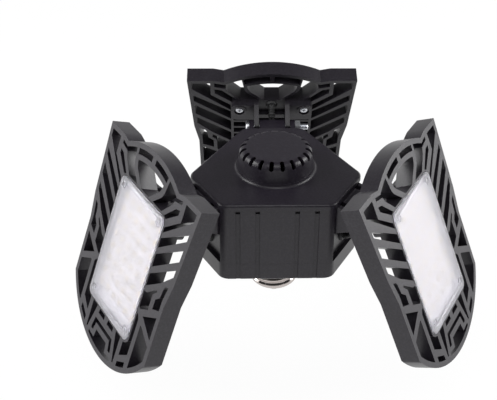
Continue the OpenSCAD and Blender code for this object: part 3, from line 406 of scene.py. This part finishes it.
def tube(name, points, radii, sides=6):
    """A round tube along the points, as thick at each one as its radius says."""
    line = bpy.data.curves.new(name, "CURVE")
    line.dimensions = "3D"
    line.bevel_depth = 1
    line.bevel_resolution = sides
    line.use_fill_caps = True
    spline = line.splines.new("POLY")
    spline.points.add(len(points) - 1)
    for knot, point, radius in zip(spline.points, points, radii):
        knot.co = (*point, 1)
        knot.radius = radius
    piece = bpy.data.objects.new(name, line)
    bpy.context.scene.collection.objects.link(piece)
    take_up(piece)
    bpy.ops.object.convert(target="MESH")
    edit(piece, merged_and_outward)
    return piece


# ---------- materials ----------

def add_node(tree, kind, settings=None, links=None):
    """Adds a node. Settings are its attributes or its sockets' values; links say what feeds a socket."""
    made = tree.nodes.new(kind)
    for key, value in (settings or {}).items():
        if isinstance(key, str) and hasattr(made, key):
            setattr(made, key, value)
        else:
            made.inputs[key].default_value = value
    for key, output in (links or {}).items():
        tree.links.new(output, made.inputs[key])
    return made


def per(millimetres):
    """The texture scale at which a pattern repeats about once in this many millimetres."""
    return 1 / (millimetres * MM)


def surface(name, base, settings):
    """A material with its shader set, the tree, and the object's own coordinates."""
    made = bpy.data.materials.new(name)
    made.use_nodes = True
    tree = made.node_tree
    shader = tree.nodes["Principled BSDF"]
    shader.inputs["Base Color"].default_value = (*base, 1)
    for socket, value in settings.items():
        shader.inputs[socket].default_value = value
    made.diffuse_color = (*base, 1)
    place = add_node(tree, "ShaderNodeTexCoord").outputs["Object"]
    return made, tree, shader, place


def mottle(tree, place, size, first, second, low=0.35, high=0.65, detail=2.0):
    """A colour that wanders between two, in patches of this many millimetres."""
    noise = add_node(
        tree, "ShaderNodeTexNoise", {"Scale": per(size), "Detail": detail}, {"Vector": place})
    ramp = add_node(tree, "ShaderNodeValToRGB", links={"Fac": noise.outputs["Fac"]})
    ramp.color_ramp.elements[0].position = low
    ramp.color_ramp.elements[1].position = high
    ramp.color_ramp.elements[0].color = (*first, 1)
    ramp.color_ramp.elements[1].color = (*second, 1)
    return ramp.outputs["Color"], noise.outputs["Fac"]


def mixed(a, b, share):
    return [x + (y - x) * share for x, y in zip(a, b)]


def powder_coat(name, coat, speck):
    """Die-cast aluminium under a satin black powder coat.

    The cured powder leaves an orange peel of about 0.4 mm, drawn at 1.1 mm to show, and a fine lighter
    speck. Its gloss wanders over 14 mm, as its thickness does. It is a dielectric skin: soft, wide
    highlights and no metal colour.
    """
    peel, wandering = 1.1, 14
    made, tree, shader, place = surface(
        name, coat, {"Roughness": 0.34, "IOR": 1.5, "Specular IOR Level": 0.42})
    speckle, grain = mottle(tree, place, peel, coat, mixed(coat, speck, 0.15), 0.42, 0.72)
    tree.links.new(speckle, shader.inputs["Base Color"])
    cloud = add_node(
        tree, "ShaderNodeTexNoise", {"Scale": per(wandering), "Detail": 1.0}, {"Vector": place})
    rough = add_node(
        tree, "ShaderNodeMapRange", {"To Min": 0.3, "To Max": 0.4}, {"Value": cloud.outputs["Fac"]})
    tree.links.new(rough.outputs["Result"], shader.inputs["Roughness"])
    bump = add_node(
        tree, "ShaderNodeBump", {"Strength": 0.25, "Distance": 0.06 * MM}, {"Height": grain})
    tree.links.new(bump.outputs["Normal"], shader.inputs["Normal"])
    return made


def frosted_polycarbonate(name, tint):
    """Opal polycarbonate from a mould with a fine spark-eroded texture, drawn at 0.9 mm to show.

    Light passes and scatters, so the board and LEDs behind only show as soft shades, and the lens is
    brightest over the board and greyer at its sides. Its IOR is set below the plastic's 1.58, because
    its wall is thin and scatters.
    """
    grain = 0.9
    made, tree, shader, place = surface(
        name, tint, {"Roughness": 0.3, "IOR": 1.35, "Transmission Weight": 0.85})
    frost = add_node(tree, "ShaderNodeTexNoise", {"Scale": per(grain), "Detail": 2.0}, {"Vector": place})
    bump = add_node(
        tree, "ShaderNodeBump", {"Strength": 0.12, "Distance": 0.03 * MM},
        {"Height": frost.outputs["Fac"]})
    tree.links.new(bump.outputs["Normal"], shader.inputs["Normal"])
    return made


def plated(name, plate, roughness, patch, worn):
    """Electroplate on steel or brass: bright metal, with a gloss that wanders where it was handled."""
    made, tree, shader, place = surface(name, plate, {"Metallic": 1.0, "Roughness": roughness})
    tone, cloud = mottle(tree, place, patch, plate, mixed(plate, [0.3, 0.3, 0.3], worn))
    tree.links.new(tone, shader.inputs["Base Color"])
    rough = add_node(
        tree, "ShaderNodeMapRange", {"To Min": roughness * 0.8, "To Max": roughness * 1.4},
        {"Value": cloud})
    tree.links.new(rough.outputs["Result"], shader.inputs["Roughness"])
    return made


def moulded(name, base, roughness, grain, bump_depth, ior=1.5):
    """Rubber, glass or plastic from a mould: an even tone, its highlight broken by the mould's grain."""
    made, tree, shader, place = surface(name, base, {"Roughness": roughness, "IOR": ior})
    tone, height = mottle(tree, place, grain, base, mixed(base, [0.2, 0.2, 0.2], 0.12))
    tree.links.new(tone, shader.inputs["Base Color"])
    bump = add_node(
        tree, "ShaderNodeBump", {"Strength": 0.3, "Distance": bump_depth * MM}, {"Height": height})
    tree.links.new(bump.outputs["Normal"], shader.inputs["Normal"])
    return made


def lacquered_board(name, lacquer, track, pitch):
    """Printed board: a smooth solder mask over copper tracks, which show as slightly paler lines."""
    made, tree, shader, place = surface(name, lacquer, {"Roughness": 0.35, "IOR": 1.5})
    tracks = add_node(
        tree, "ShaderNodeTexBrick",
        {"Scale": per(pitch), "Color1": (*lacquer, 1), "Color2": (*mixed(lacquer, track, 0.25), 1),
         "Mortar": (*mixed(lacquer, track, 0.6), 1), "Mortar Size": 0.03},
        {"Vector": place})
    tree.links.new(tracks.outputs["Color"], shader.inputs["Base Color"])
    return made


def wound_wire(name, copper):
    """Enamelled copper wire of 0.3 mm, wound side by side: rows of glints, drawn at 0.7 mm to show."""
    wire = 0.7
    made, tree, shader, place = surface(name, copper, {"Metallic": 0.8, "Roughness": 0.3})
    turns = add_node(
        tree, "ShaderNodeTexWave", {"Scale": per(wire) / math.tau, "bands_direction": "X"},
        {"Vector": place})
    bump = add_node(
        tree, "ShaderNodeBump", {"Strength": 0.6, "Distance": 0.15 * MM},
        {"Height": turns.outputs["Fac"]})
    tree.links.new(bump.outputs["Normal"], shader.inputs["Normal"])
    tone, _ = mottle(tree, place, 3, copper, mixed(copper, [0.02, 0.01, 0.01], 0.3))
    tree.links.new(tone, shader.inputs["Base Color"])
    return made


def finish(name):
    """The material of this name, made the first time that it is asked for."""
    if name in bpy.data.materials:
        return bpy.data.materials[name]
    c = bpy.context.scene.garage_light_colours
    # Pattern sizes are in millimetres: marks on a plating, the grain of a mould, or a board's tracks
    makers = {
        "hub_powder_coat": lambda: powder_coat(name, c.hub_coat, c.coat_speck),
        "panel_powder_coat": lambda: powder_coat(name, c.panel_coat, c.coat_speck),
        "frosted_polycarbonate": lambda: frosted_polycarbonate(name, c.lens),
        "zinc_plated_steel": lambda: plated(name, c.zinc, 0.28, 2.5, 0.2),
        "nickel_plated_brass": lambda: plated(name, c.nickel, 0.15, 6, 0.15),
        "tinned_contact": lambda: plated(name, c.solder, 0.35, 1.5, 0.3),
        "black_glass": lambda: moulded(name, c.insulator, 0.12, 8, 0.02, 1.52),
        "matt_rubber": lambda: moulded(name, c.rubber, 0.6, 0.8, 0.05),
        "white_solder_mask": lambda: lacquered_board(name, c.solder_mask, linear("#cfcabb"), 9),
        "led_phosphor": lambda: moulded(name, c.phosphor, 0.35, 0.6, 0.02, 1.41),
        "green_solder_mask": lambda: lacquered_board(name, c.board, linear("#4f9a63"), 5),
        "enamelled_copper": lambda: wound_wire(name, c.copper),
        "shrunk_sleeve": lambda: moulded(name, c.sleeve, 0.3, 2, 0.02),
        "epoxy_dip": lambda: moulded(name, c.film, 0.25, 3, 0.05),
        "sintered_ferrite": lambda: moulded(name, linear("#2a2a2c"), 0.5, 0.7, 0.04),
        "white_lead_sleeve": lambda: moulded(name, linear("#e6e4dd"), 0.45, 1, 0.02),
    }
    return makers[name]()


# ---------- operators ----------

class GARAGE_LIGHT_OT_stage(Operator):
    """Sets up the pale floor, the soft lights, the white surroundings and the camera"""
    bl_idname = "garage_light.stage"
    bl_label = "Studio"

    # The camera, as the photograph's perspective gives it, in millimetres, degrees and frame widths
    LOOKED_AT = (0, 0, 50)
    DISTANCE = 486.5
    AROUND, ABOVE, ROLL = 2.51, 32.06, -1.03
    SHIFT = (-0.0542, -0.0612)
    SENSOR = 36
    # The sheet of paper, in metres: its side, how far its middle lies behind the lamp, and its drop
    PAPER_SIDE, PAPER_BACK, PAPER_DROP = 8, 3.3, 25 * MM
    # How much of the paper shows as plain white
    VEIL = 0.95
    # Where the white sweep ends, above and in front, as parts of a direction of length 1
    SWEEP_TOP = (0.15, 0.5)
    SWEEP_FRONT = (-0.9, -0.4)

    def execute(self, context):
        stage = context.scene.garage_light_stage
        self.camera(context, stage)
        self.floor()
        self.lights(stage)
        self.surroundings(context, stage)
        return {"FINISHED"}

    def camera(self, context, stage):
        """The photograph's viewing angle, found from the hub's corners and the panels' outlines."""
        around, above, roll = (math.radians(angle) for angle in (self.AROUND, self.ABOVE, self.ROLL))
        right = Vector((math.cos(around), -math.sin(around), 0))
        up = Vector((
            math.sin(around) * math.sin(above), math.cos(around) * math.sin(above), math.cos(above)))
        back = right.cross(up)
        rolled_right = math.cos(roll) * right - math.sin(roll) * up
        rolled_up = math.sin(roll) * right + math.cos(roll) * up
        lens = bpy.data.cameras.new("camera")
        lens.lens = stage.focal_length
        lens.sensor_width = self.SENSOR
        lens.shift_x, lens.shift_y = self.SHIFT
        lens.clip_start = 0.01
        lens.clip_end = 20
        camera = bpy.data.objects.new("camera", lens)
        context.scene.collection.objects.link(camera)
        turned = Matrix((rolled_right, rolled_up, back)).transposed().to_4x4()
        place = Vector(self.LOOKED_AT) * MM + self.DISTANCE * MM * back
        camera.matrix_world = Matrix.Translation(place) @ turned
        context.scene.camera = camera

    def floor(self):
        deselect()
        bpy.ops.mesh.primitive_plane_add(
            size=self.PAPER_SIDE, location=(0, self.PAPER_BACK, CAD_BOX[0].z - self.PAPER_DROP))
        plane = added("studio_floor")
        plane.data.materials.append(self.floor_material())

    def floor_material(self):
        """White paper: it shows as plain white, and keeps a faint shadow of the lamp."""
        made = bpy.data.materials.new("studio_paper")
        made.use_nodes = True
        tree = made.node_tree
        tree.nodes.remove(tree.nodes["Principled BSDF"])
        paper = add_node(tree, "ShaderNodeBsdfDiffuse", {"Color": (0.9, 0.9, 0.9, 1)})
        white = add_node(tree, "ShaderNodeEmission", {"Strength": 1.0})
        veiled = add_node(
            tree, "ShaderNodeMixShader", {"Fac": self.VEIL},
            {1: paper.outputs["BSDF"], 2: white.outputs["Emission"]})
        mix = add_node(
            tree, "ShaderNodeMixShader",
            links={0: self.seen(tree), 1: paper.outputs["BSDF"], 2: veiled.outputs["Shader"]})
        tree.links.new(mix.outputs["Shader"], tree.nodes["Material Output"].inputs["Surface"])
        return made

    def seen(self, tree):
        """1 for rays from the camera, a mirror or a glass, and 0 for the light that falls on the lamp."""
        path = add_node(tree, "ShaderNodeLightPath")
        first = add_node(
            tree, "ShaderNodeMath", {"operation": "MAXIMUM"},
            {0: path.outputs["Is Camera Ray"], 1: path.outputs["Is Glossy Ray"]})
        return add_node(
            tree, "ShaderNodeMath", {"operation": "MAXIMUM"},
            {0: first.outputs[0], 1: path.outputs["Is Transmission Ray"]}).outputs[0]

    def lights(self, stage):
        """Two tall softboxes beside the lamp and one above, their places and sizes in metres."""
        middle = Vector((0, 0, 30)) * MM
        for name, place, width, height, power in (
            ("key_softbox", (-0.85, -0.05, 0.42), 0.5, 0.8, stage.key_power),
            ("fill_softbox", (0.85, 0.05, 0.36), 0.5, 0.8, stage.fill_power),
            ("top_softbox", (0, -0.5, 0.85), 0.5, 0.5, stage.top_power),
        ):
            lamp = bpy.data.lights.new(name, "AREA")
            lamp.shape = "RECTANGLE"
            lamp.size = width
            lamp.size_y = height
            lamp.energy = power
            softbox = bpy.data.objects.new(name, lamp)
            bpy.context.scene.collection.objects.link(softbox)
            softbox.location = place
            softbox.rotation_euler = (middle - Vector(place)).to_track_quat("-Z", "Y").to_euler()

    def surroundings(self, context, stage):
        """White for the camera and through a lens; gloss shows a white sweep, dark above and in front."""
        world = bpy.data.worlds.new("studio")
        context.scene.world = world
        world.use_nodes = True
        tree = world.node_tree
        background = tree.nodes["Background"]
        background.inputs["Color"].default_value = (1, 1, 1, 1)
        direction = add_node(
            tree, "ShaderNodeSeparateXYZ",
            links={"Vector": add_node(tree, "ShaderNodeTexCoord").outputs["Generated"]}).outputs
        sweep = [
            add_node(
                tree, "ShaderNodeMapRange",
                {"interpolation_type": "SMOOTHSTEP", "From Min": start, "From Max": end, "To Min": first,
                 "To Max": last},
                {"Value": direction[axis]}).outputs["Result"]
            for axis, (start, end), first, last in (
                ("Z", self.SWEEP_TOP, 1.0, stage.ceiling), ("Y", self.SWEEP_FRONT, stage.ceiling, 1.0))]
        mirrored = add_node(
            tree, "ShaderNodeMath", {"operation": "MULTIPLY"}, {0: sweep[0], 1: sweep[1]}).outputs[0]
        path = add_node(tree, "ShaderNodeLightPath").outputs
        lit = add_node(
            tree, "ShaderNodeMix", {2: stage.ambient},
            {0: path["Is Glossy Ray"], 3: mirrored}).outputs["Result"]
        clear = add_node(
            tree, "ShaderNodeMath", {"operation": "MAXIMUM"},
            {0: path["Is Camera Ray"], 1: path["Is Transmission Ray"]}).outputs[0]
        strength = add_node(tree, "ShaderNodeMix", {3: 1.0}, {0: clear, 2: lit})
        tree.links.new(strength.outputs["Result"], background.inputs["Strength"])
        context.scene.view_settings.view_transform = "Standard"


class GARAGE_LIGHT_OT_cables(Operator):
    """Lays the cables from the driver through the hub's wall and round the hinges to the LED boards"""
    bl_idname = "garage_light.cables"
    bl_label = "Cables"

    # Millimetres. The boot begins at the panel grommet's outer face; it is this much thicker than
    # the cable between its ribs and on them, and it is drawn in steps of this length.
    CABLE_R = 1.5
    BEND_R = 6.6
    GROMMET_FACE = PANEL_BACK - 1.5
    BOOT_ROOT, BOOT_CREST = 0.15, 0.55
    BOOT_STEP = 0.35

    def execute(self, context):
        for arm in ARMS:
            self.cable(arm)
        return {"FINISHED"}

    def route(self, arm):
        """The cable's middle line in the hinge's own plane, in millimetres from the hinge axis."""
        fold = arm.fold
        out = Vector((math.cos(fold), math.sin(fold)))
        up = Vector((-math.sin(fold), math.cos(fold)))
        bend = [math.radians(20) + fold, (fold - math.radians(40)) / 2, math.radians(-60)]
        flat = [w * out + (HINGE_V - CABLE_V) * up
                for w in (BOARD_FACE, BOARD_SEAT, PANEL_BACK, 10.8, 9.8)]
        flat += [self.BEND_R * Vector((math.cos(a), math.sin(a))) for a in bend]
        flat += [Vector(p) for p in (
            (-1, -10.5), (-7, -15.5), (-12, -19.5), (-15.1, -21.5), (-16.1, -21.5),
            (-20.2, -21.5), (-22.8, -21.5), (-33.1, -21.5), (-35.2, -22.4), (-36.1, -24.5),
            (-36.1, -25.5), (-36.1, -26.4))]
        level = arm.frame_at(0)
        return [level @ Vector((0, y, x)) for x, y in flat]

    def cable(self, arm):
        knots = self.route(arm)
        path = smooth_path(knots, 6)
        sheath = tube("sheath", path, [self.CABLE_R * MM] * len(path))
        boot = self.boot(path)
        piece = joined(arm.name + "_panel_cable", [sheath, boot])
        smooth(piece, 50)
        piece.data.materials.append(finish("matt_rubber"))
        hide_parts(arm.name + "_cable")
        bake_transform(piece)
        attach(piece, "hub")

    def boot(self, path):
        """The strain relief moulded on the cable where it leaves the panel, ribbed so that it bends."""
        rib = (self.BOOT_ROOT, self.BOOT_CREST, self.BOOT_CREST, self.BOOT_ROOT)
        count = bpy.context.scene.garage_light_sizes.boot_ribs * len(rib) + 1
        stretch = evenly(path, (BOARD_FACE - self.GROMMET_FACE) * MM, self.BOOT_STEP * MM, count)
        radii = [(self.CABLE_R + rib[k % len(rib)]) * MM for k in range(len(stretch))]
        return tube("boot", stretch, radii)


class GARAGE_LIGHT_OT_hub(Operator):
    """Finishes the hub's three castings with rounded edges and powder coat"""
    bl_idname = "garage_light.hub"
    bl_label = "Hub"

    # The housing and the rear cover are this much rounder than the front cover
    ROUNDER = 1.6

    def execute(self, context):
        edge = context.scene.garage_light_sizes.hub_edge
        rounder = self.ROUNDER * edge
        for node, width in (("front_cover", edge), ("main_housing", rounder), ("rear_cover", rounder)):
            piece = copied(node + "_casting", node)
            softened(piece, width)
            dressed(piece, finish("hub_powder_coat"), "hub_casting", "hub", node)
        return {"FINISHED"}


class GARAGE_LIGHT_OT_screw_cap(Operator):
    """Rolls the cap's thread and finishes its insulator and contact"""
    bl_idname = "garage_light.screw_cap"
    bl_label = "Screw cap"

    def execute(self, context):
        sizes = context.scene.garage_light_sizes
        self.shell(sizes)
        for name, node, width, material, slot in (
            ("glass_insulator", "cap_insulator", 0.5, "black_glass", "cap_insulator"),
            ("tinned_contact", "cap_contact", 0.35, "tinned_contact", "contact_metal"),
        ):
            piece = copied(name, node)
            softened(piece, width * MM, 3, 20)
            dressed(piece, finish(material), slot, "hub", node)
        return {"FINISHED"}

    def shell(self, sizes):
        """A thin rolled shell: rim, thread and the curl that holds the insulator."""
        low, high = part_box("cap_shell")
        crest = high.x
        wall = 0.12 * MM
        inner = crest - sizes.thread_depth - wall
        lip = 9.4 * MM
        taper = 2.4 * MM
        rim, shoulder = 1.6 * MM, 0.3 * MM
        run_out = 2.2 * MM
        rows, steps = 60, 96
        wall_low = low.z + taper
        cone = [(crest - 1.2 * MM, 0, low.z + 1.0 * MM), (lip + 1.0 * MM, 0, low.z + 0.15 * MM)]
        outside = [(crest, 0, high.z + (wall_low - high.z) * k / rows) for k in range(rows + 1)]
        section = [(inner, 0, high.z)] + outside + cone + [
            (lip, 0, low.z), (lip, 0, low.z + 3 * wall), (inner, 0, wall_low + 3 * wall),
            (inner, 0, high.z)]
        piece = spun("threaded_shell", section, steps)
        top, foot = high.z - rim, wall_low + shoulder
        for vertex in piece.data.vertices:
            x, y, z = vertex.co
            radius = math.hypot(x, y)
            if radius < inner + wall:
                continue
            turn = math.atan2(y, x) / math.tau
            wave = 0.5 - 0.5 * math.cos(math.tau * (z / sizes.thread_pitch - turn))
            fade = max(0, min(1, (top - z) / run_out)) * max(0, min(1, (z - foot) / run_out))
            fade = fade * fade * (3 - 2 * fade)
            slimmer = 1 - sizes.thread_depth * wave * fade / radius
            vertex.co = (x * slimmer, y * slimmer, z)
        smooth(piece, 50)
        dressed(piece, finish("nickel_plated_brass"), "nickel_cap", "hub", "cap_shell")


class GARAGE_LIGHT_OT_panels(Operator):
    """Finishes the panels' die-cast heat sinks"""
    bl_idname = "garage_light.panels"
    bl_label = "Panels"

    def execute(self, context):
        edge = context.scene.garage_light_sizes.casting_edge
        for arm in ARMS:
            node = arm.name + "_heat_sink"
            piece = copied(node + "_casting", node)
            softened(piece, edge)
            dressed(piece, finish("panel_powder_coat"), "panel_casting", arm.body, node)
        return {"FINISHED"}


class GARAGE_LIGHT_OT_lights(Operator):
    """Finishes the frosted lenses and the LED boards behind them"""
    bl_idname = "garage_light.lights"
    bl_label = "Lenses and LED boards"

    def execute(self, context):
        edge = context.scene.garage_light_sizes.lens_edge
        for arm in ARMS:
            node = arm.name + "_diffuser"
            lens = copied(arm.name + "_frosted_lens", node)
            softened(lens, edge, 3)
            cut_away(lens, self.post_rings(arm))
            smooth(lens)
            dressed(lens, finish("frosted_polycarbonate"), "frosted_lens", arm.body, node)
            self.board(arm)
        return {"FINISHED"}

    def post_rings(self, arm):
        """Shallow rings in a lens's face, over its four posts."""
        inside, outside = 1.3, 1.9
        depth, above = 0.35, 1
        groove = spun("groove", [
            (inside, 0, -depth), (outside, 0, -depth), (outside, 0, above), (inside, 0, above),
            (inside, 0, -depth)], 32)
        places = [arm.seat(u, v, LENS_FACE) for u in (-SCREW_U, SCREW_U) for v in POST_RING_VS]
        return set_out("post_rings", groove, places)

    def board(self, arm):
        node = arm.name + "_led_board"
        board = copied(arm.name + "_populated_led_board", node)
        board.data.materials.append(finish("white_solder_mask"))
        board.data.materials.append(finish("led_phosphor"))
        to_panel = arm.frame_at(arm.fold).inverted()
        led_tops = BOARD_FACE + 0.5
        for face in board.data.polygons:
            if (to_panel @ face.center).z > led_tops:
                face.material_index = 1
        smooth(board)
        dressed(board, None, "led_board", arm.body, node)


class GARAGE_LIGHT_OT_hinges(Operator):
    """Finishes the hinge brackets and makes their bolts and nuts"""
    bl_idname = "garage_light.hinges"
    bl_label = "Hinges"

    # Millimetres. STACK is half of what the bolt holds together, TAIL is what stands out of the nut,
    # and TIP is the bevel at the bolt's end.
    STACK = 13.3
    TAIL = 4.7
    BOLT_R = 2.0
    THREAD_DEPTH = 0.35
    TIP = 0.6
    HEAD_R = 3.7
    HEAD_H = 2.2
    SOCKET_FLATS = 2.5
    SOCKET_DEPTH = 1.2
    NUT_FLATS = 7.0
    NUT_H = 3.2
    NUT_CHAMFER = 0.5

    def execute(self, context):
        sizes = context.scene.garage_light_sizes
        for arm in ARMS:
            node = arm.name + "_hinge_bracket"
            bracket = copied(node + "_casting", node)
            softened(bracket, sizes.hub_edge)
            dressed(bracket, finish("panel_powder_coat"), "panel_casting", arm.body, node)
            level = arm.frame_at(0)
            bolt = set_out(arm.name + "_threaded_bolt", self.bolt(sizes), [level])
            dressed(bolt, finish("zinc_plated_steel"), "zinc_screws", "hub", arm.name + "_hinge_bolt")
            nut = set_out(arm.name + "_chamfered_nut", self.nut(), [level])
            dressed(nut, finish("zinc_plated_steel"), "zinc_screws", "hub", arm.name + "_hinge_nut")
        return {"FINISHED"}

    def bolt(self, sizes):
        """A bolt along X in millimetres: pan head, plain shank, and thread where the nut holds it."""
        pitch = sizes.bolt_pitch / MM
        end = -self.STACK - self.NUT_H - self.TAIL
        head = self.STACK + self.HEAD_H
        thread = []
        x = end + self.TIP
        while x < -self.STACK + 1:
            thread += [(x, 0, self.BOLT_R), (x + pitch / 2, 0, self.BOLT_R - self.THREAD_DEPTH)]
            x += pitch
        section = [(end, 0, 0), (end, 0, self.BOLT_R - self.TIP)] + thread + [
            (x, 0, self.BOLT_R), (self.STACK, 0, self.BOLT_R), (self.STACK, 0, self.HEAD_R - 0.2),
            (self.STACK + 0.2, 0, self.HEAD_R), (head - 0.8, 0, self.HEAD_R - 0.1),
            (head - 0.25, 0, self.HEAD_R - 0.6), (head, 0, self.HEAD_R - 1.4), (head, 0, 0)]
        piece = spun("bolt", section, 32, (1, 0, 0))
        smooth(piece)
        depth = self.SOCKET_DEPTH
        cut_away(piece, self.hexagon("socket", self.SOCKET_FLATS, depth + 0.1, head - depth))
        return piece

    def hexagon(self, name, flats, height, start):
        """A six-sided bar along X."""
        deselect()
        bpy.ops.mesh.primitive_cylinder_add(
            vertices=6, radius=flats / 2 / math.cos(math.radians(30)), depth=height,
            location=(start + height / 2, 0, 0), rotation=(0, math.radians(90), 0))
        return added(name)

    def nut(self):
        """A nut along X in millimetres, its corners turned off at both ends."""
        over = 0.01
        start = -self.STACK - self.NUT_H
        end = -self.STACK
        piece = self.hexagon("nut", self.NUT_FLATS, self.NUT_H, start)
        corner = self.NUT_FLATS / 2 / math.cos(math.radians(30))
        low, high = self.NUT_FLATS / 2 - 0.1, corner + 0.3
        chamfer = spun("chamfer", [
            (start - over, 0, 0), (start - over, 0, low), (start + self.NUT_CHAMFER, 0, high),
            (end - self.NUT_CHAMFER, 0, high), (end + over, 0, low), (end + over, 0, 0)], 48, (1, 0, 0))
        apply_modifier(piece, "BOOLEAN", operation="INTERSECT", solver="EXACT", object=chamfer)
        bpy.data.objects.remove(chamfer)
        deselect()
        bpy.ops.mesh.primitive_cylinder_add(
            vertices=32, radius=self.BOLT_R + 0.05, depth=self.NUT_H + 1,
            location=(start + self.NUT_H / 2, 0, 0), rotation=(0, math.radians(90), 0))
        cut_away(piece, added("bore"))
        smooth(piece)
        return piece


class GARAGE_LIGHT_OT_screws(Operator):
    """Makes the cross-recessed pan-head screws of the panels, the hub and the driver board"""
    bl_idname = "garage_light.screws"
    bl_label = "Screws"

    HEAD_R = 2.8
    HEAD_H = 1.8
    SHANK_R = 1.45
    # The cross recess: the width of its slots, and how narrow they end in the head
    SLOT = 0.75
    NARROWING = 0.6

    def execute(self, context):
        steel = finish("zinc_plated_steel")
        for arm in ARMS:
            for group, v, seat, reach in (
                ("bracket_screws", BRACKET_SCREW_V, BRACKET_BACK + 0.1, LENS_INSIDE - 0.5),
                ("lens_screws", LENS_SCREW_V, PANEL_BACK, LENS_INSIDE - 0.5),
            ):
                pattern = self.screw(reach - seat - self.HEAD_H)
                places = [arm.seat(u, v, seat) for u in (-SCREW_U, SCREW_U)]
                piece = set_out(f"{arm.name}_recessed_{group}", pattern, places)
                dressed(piece, steel, "zinc_screws", arm.body, f"{arm.name}_{group}")
        low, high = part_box("cover_screws")
        self.ring("cover_screws", COVER_SCREW_R, low.z / MM, (high.z - low.z) / MM, (30, 150, 270), False)
        low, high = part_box("board_screws")
        self.ring("board_screws", BOARD_SCREW_R, high.z / MM, (high.z - low.z) / MM, (60, 180, 300), True)
        return {"FINISHED"}

    def ring(self, group, radius, head_z, whole, azimuths, heads_up):
        """Screws in a ring round the lamp's axis, their heads' tops at head_z."""
        pattern = self.screw(whole - self.HEAD_H)
        places = []
        for azimuth in azimuths:
            turned = Matrix.Rotation(math.radians(azimuth), 4, "Z")
            place = turned @ Matrix.Translation((radius * MM, 0, head_z * MM))
            if heads_up:
                place = place @ Matrix.Rotation(math.pi, 4, "X")
            places.append(place @ Matrix.Scale(MM, 4))
        piece = set_out("recessed_" + group, pattern, places)
        dressed(piece, finish("zinc_plated_steel"), "zinc_screws", "hub", group)

    def screw(self, shank):
        """A screw pointing along +Z in millimetres, its head's top at the origin."""
        sizes = bpy.context.scene.garage_light_sizes
        neck = self.HEAD_H
        section = [
            (0, 0, 0), (1.5, 0, 0), (2.2, 0, 0.15), (2.6, 0, 0.5), (self.HEAD_R, 0, 1.1),
            (self.HEAD_R, 0, neck), (self.SHANK_R, 0, neck), (self.SHANK_R, 0, neck + shank - 0.5),
            (self.SHANK_R - 0.5, 0, neck + shank), (0, 0, neck + shank)]
        piece = spun("screw", section, 32)
        width, depth = sizes.recess_width / MM, sizes.recess_depth / MM
        for bar in ((width, self.SLOT), (self.SLOT, width)):
            deselect()
            bpy.ops.mesh.primitive_cube_add(
                size=1, location=(0, 0, depth / 2 - 0.5), scale=(*bar, depth + 1))
            cutter = added("cutter")
            edit_faces(
                cutter, lambda centre, normal: normal.z > 0.9,
                lambda: bpy.ops.transform.resize(value=(self.NARROWING, self.NARROWING, 1)))
            cut_away(piece, cutter)
        smooth(piece, 40)
        return piece


class GARAGE_LIGHT_OT_grommets(Operator):
    """Finishes the rubber grommets in the panels and in the hub's walls"""
    bl_idname = "garage_light.grommets"
    bl_label = "Grommets"

    def execute(self, context):
        edge = 0.2 * MM
        for arm in ARMS:
            for side, body in (("panel", arm.body), ("hub", "hub")):
                node = f"{arm.name}_{side}_grommet"
                piece = copied(node + "_moulding", node)
                softened(piece, edge, 2, 30)
                dressed(piece, finish("matt_rubber"), "rubber", body, node)
        return {"FINISHED"}


class GARAGE_LIGHT_OT_driver(Operator):
    """Finishes the driver's parts inside the hub"""
    bl_idname = "garage_light.driver"
    bl_label = "Driver"

    def execute(self, context):
        finishes = {
            "driver_board": "green_solder_mask",
            "transformer": "enamelled_copper",
            "line_choke": "sintered_ferrite",
            "input_capacitor": "shrunk_sleeve",
            "output_capacitor": "shrunk_sleeve",
            "film_capacitor": "epoxy_dip",
            "rectifier": "sintered_ferrite",
            "live_lead": "matt_rubber",
            "neutral_lead": "white_lead_sleeve",
        }
        for node, name in finishes.items():
            piece = NODES[node]
            if not piece.material_slots:
                piece.data.materials.append(finish(name))
            for slot in piece.material_slots:
                slot.link = "OBJECT"
                slot.material = finish(name)
        return {"FINISHED"}


OPERATORS = (
    GARAGE_LIGHT_OT_stage,
    GARAGE_LIGHT_OT_cables,
    GARAGE_LIGHT_OT_hub,
    GARAGE_LIGHT_OT_screw_cap,
    GARAGE_LIGHT_OT_panels,
    GARAGE_LIGHT_OT_lights,
    GARAGE_LIGHT_OT_hinges,
    GARAGE_LIGHT_OT_screws,
    GARAGE_LIGHT_OT_grommets,
    GARAGE_LIGHT_OT_driver,
)


class GARAGE_LIGHT_PT_sidebar(Panel):
    """Lists the settings and the steps"""
    bl_label = "Garage Light"
    bl_idname = "GARAGE_LIGHT_PT_sidebar"
    bl_space_type = "VIEW_3D"
    bl_region_type = "UI"
    bl_category = "Garage Light"

    def draw(self, context):
        for operator in OPERATORS:
            self.layout.operator(operator.bl_idname)
        for settings in SETTINGS:
            box = self.layout.box()
            for name in SETTINGS[settings].__annotations__:
                box.prop(getattr(context.scene, settings), name)


SETTINGS = {
    "garage_light_colours": GarageLightColours,
    "garage_light_sizes": GarageLightSizes,
    "garage_light_stage": GarageLightStage,
}


def register():
    for settings, group in SETTINGS.items():
        bpy.utils.register_class(group)
        setattr(bpy.types.Scene, settings, PointerProperty(type=group))
    for operator in OPERATORS:
        bpy.utils.register_class(operator)
    bpy.utils.register_class(GARAGE_LIGHT_PT_sidebar)


def unregister():
    bpy.utils.unregister_class(GARAGE_LIGHT_PT_sidebar)
    for operator in reversed(OPERATORS):
        bpy.utils.unregister_class(operator)
    for settings, group in SETTINGS.items():
        delattr(bpy.types.Scene, settings)
        bpy.utils.unregister_class(group)


def main():
    register()
    for operator in OPERATORS:
        group, step = operator.bl_idname.split(".")
        getattr(getattr(bpy.ops, group), step)()


if __name__ == "__main__":
    main()
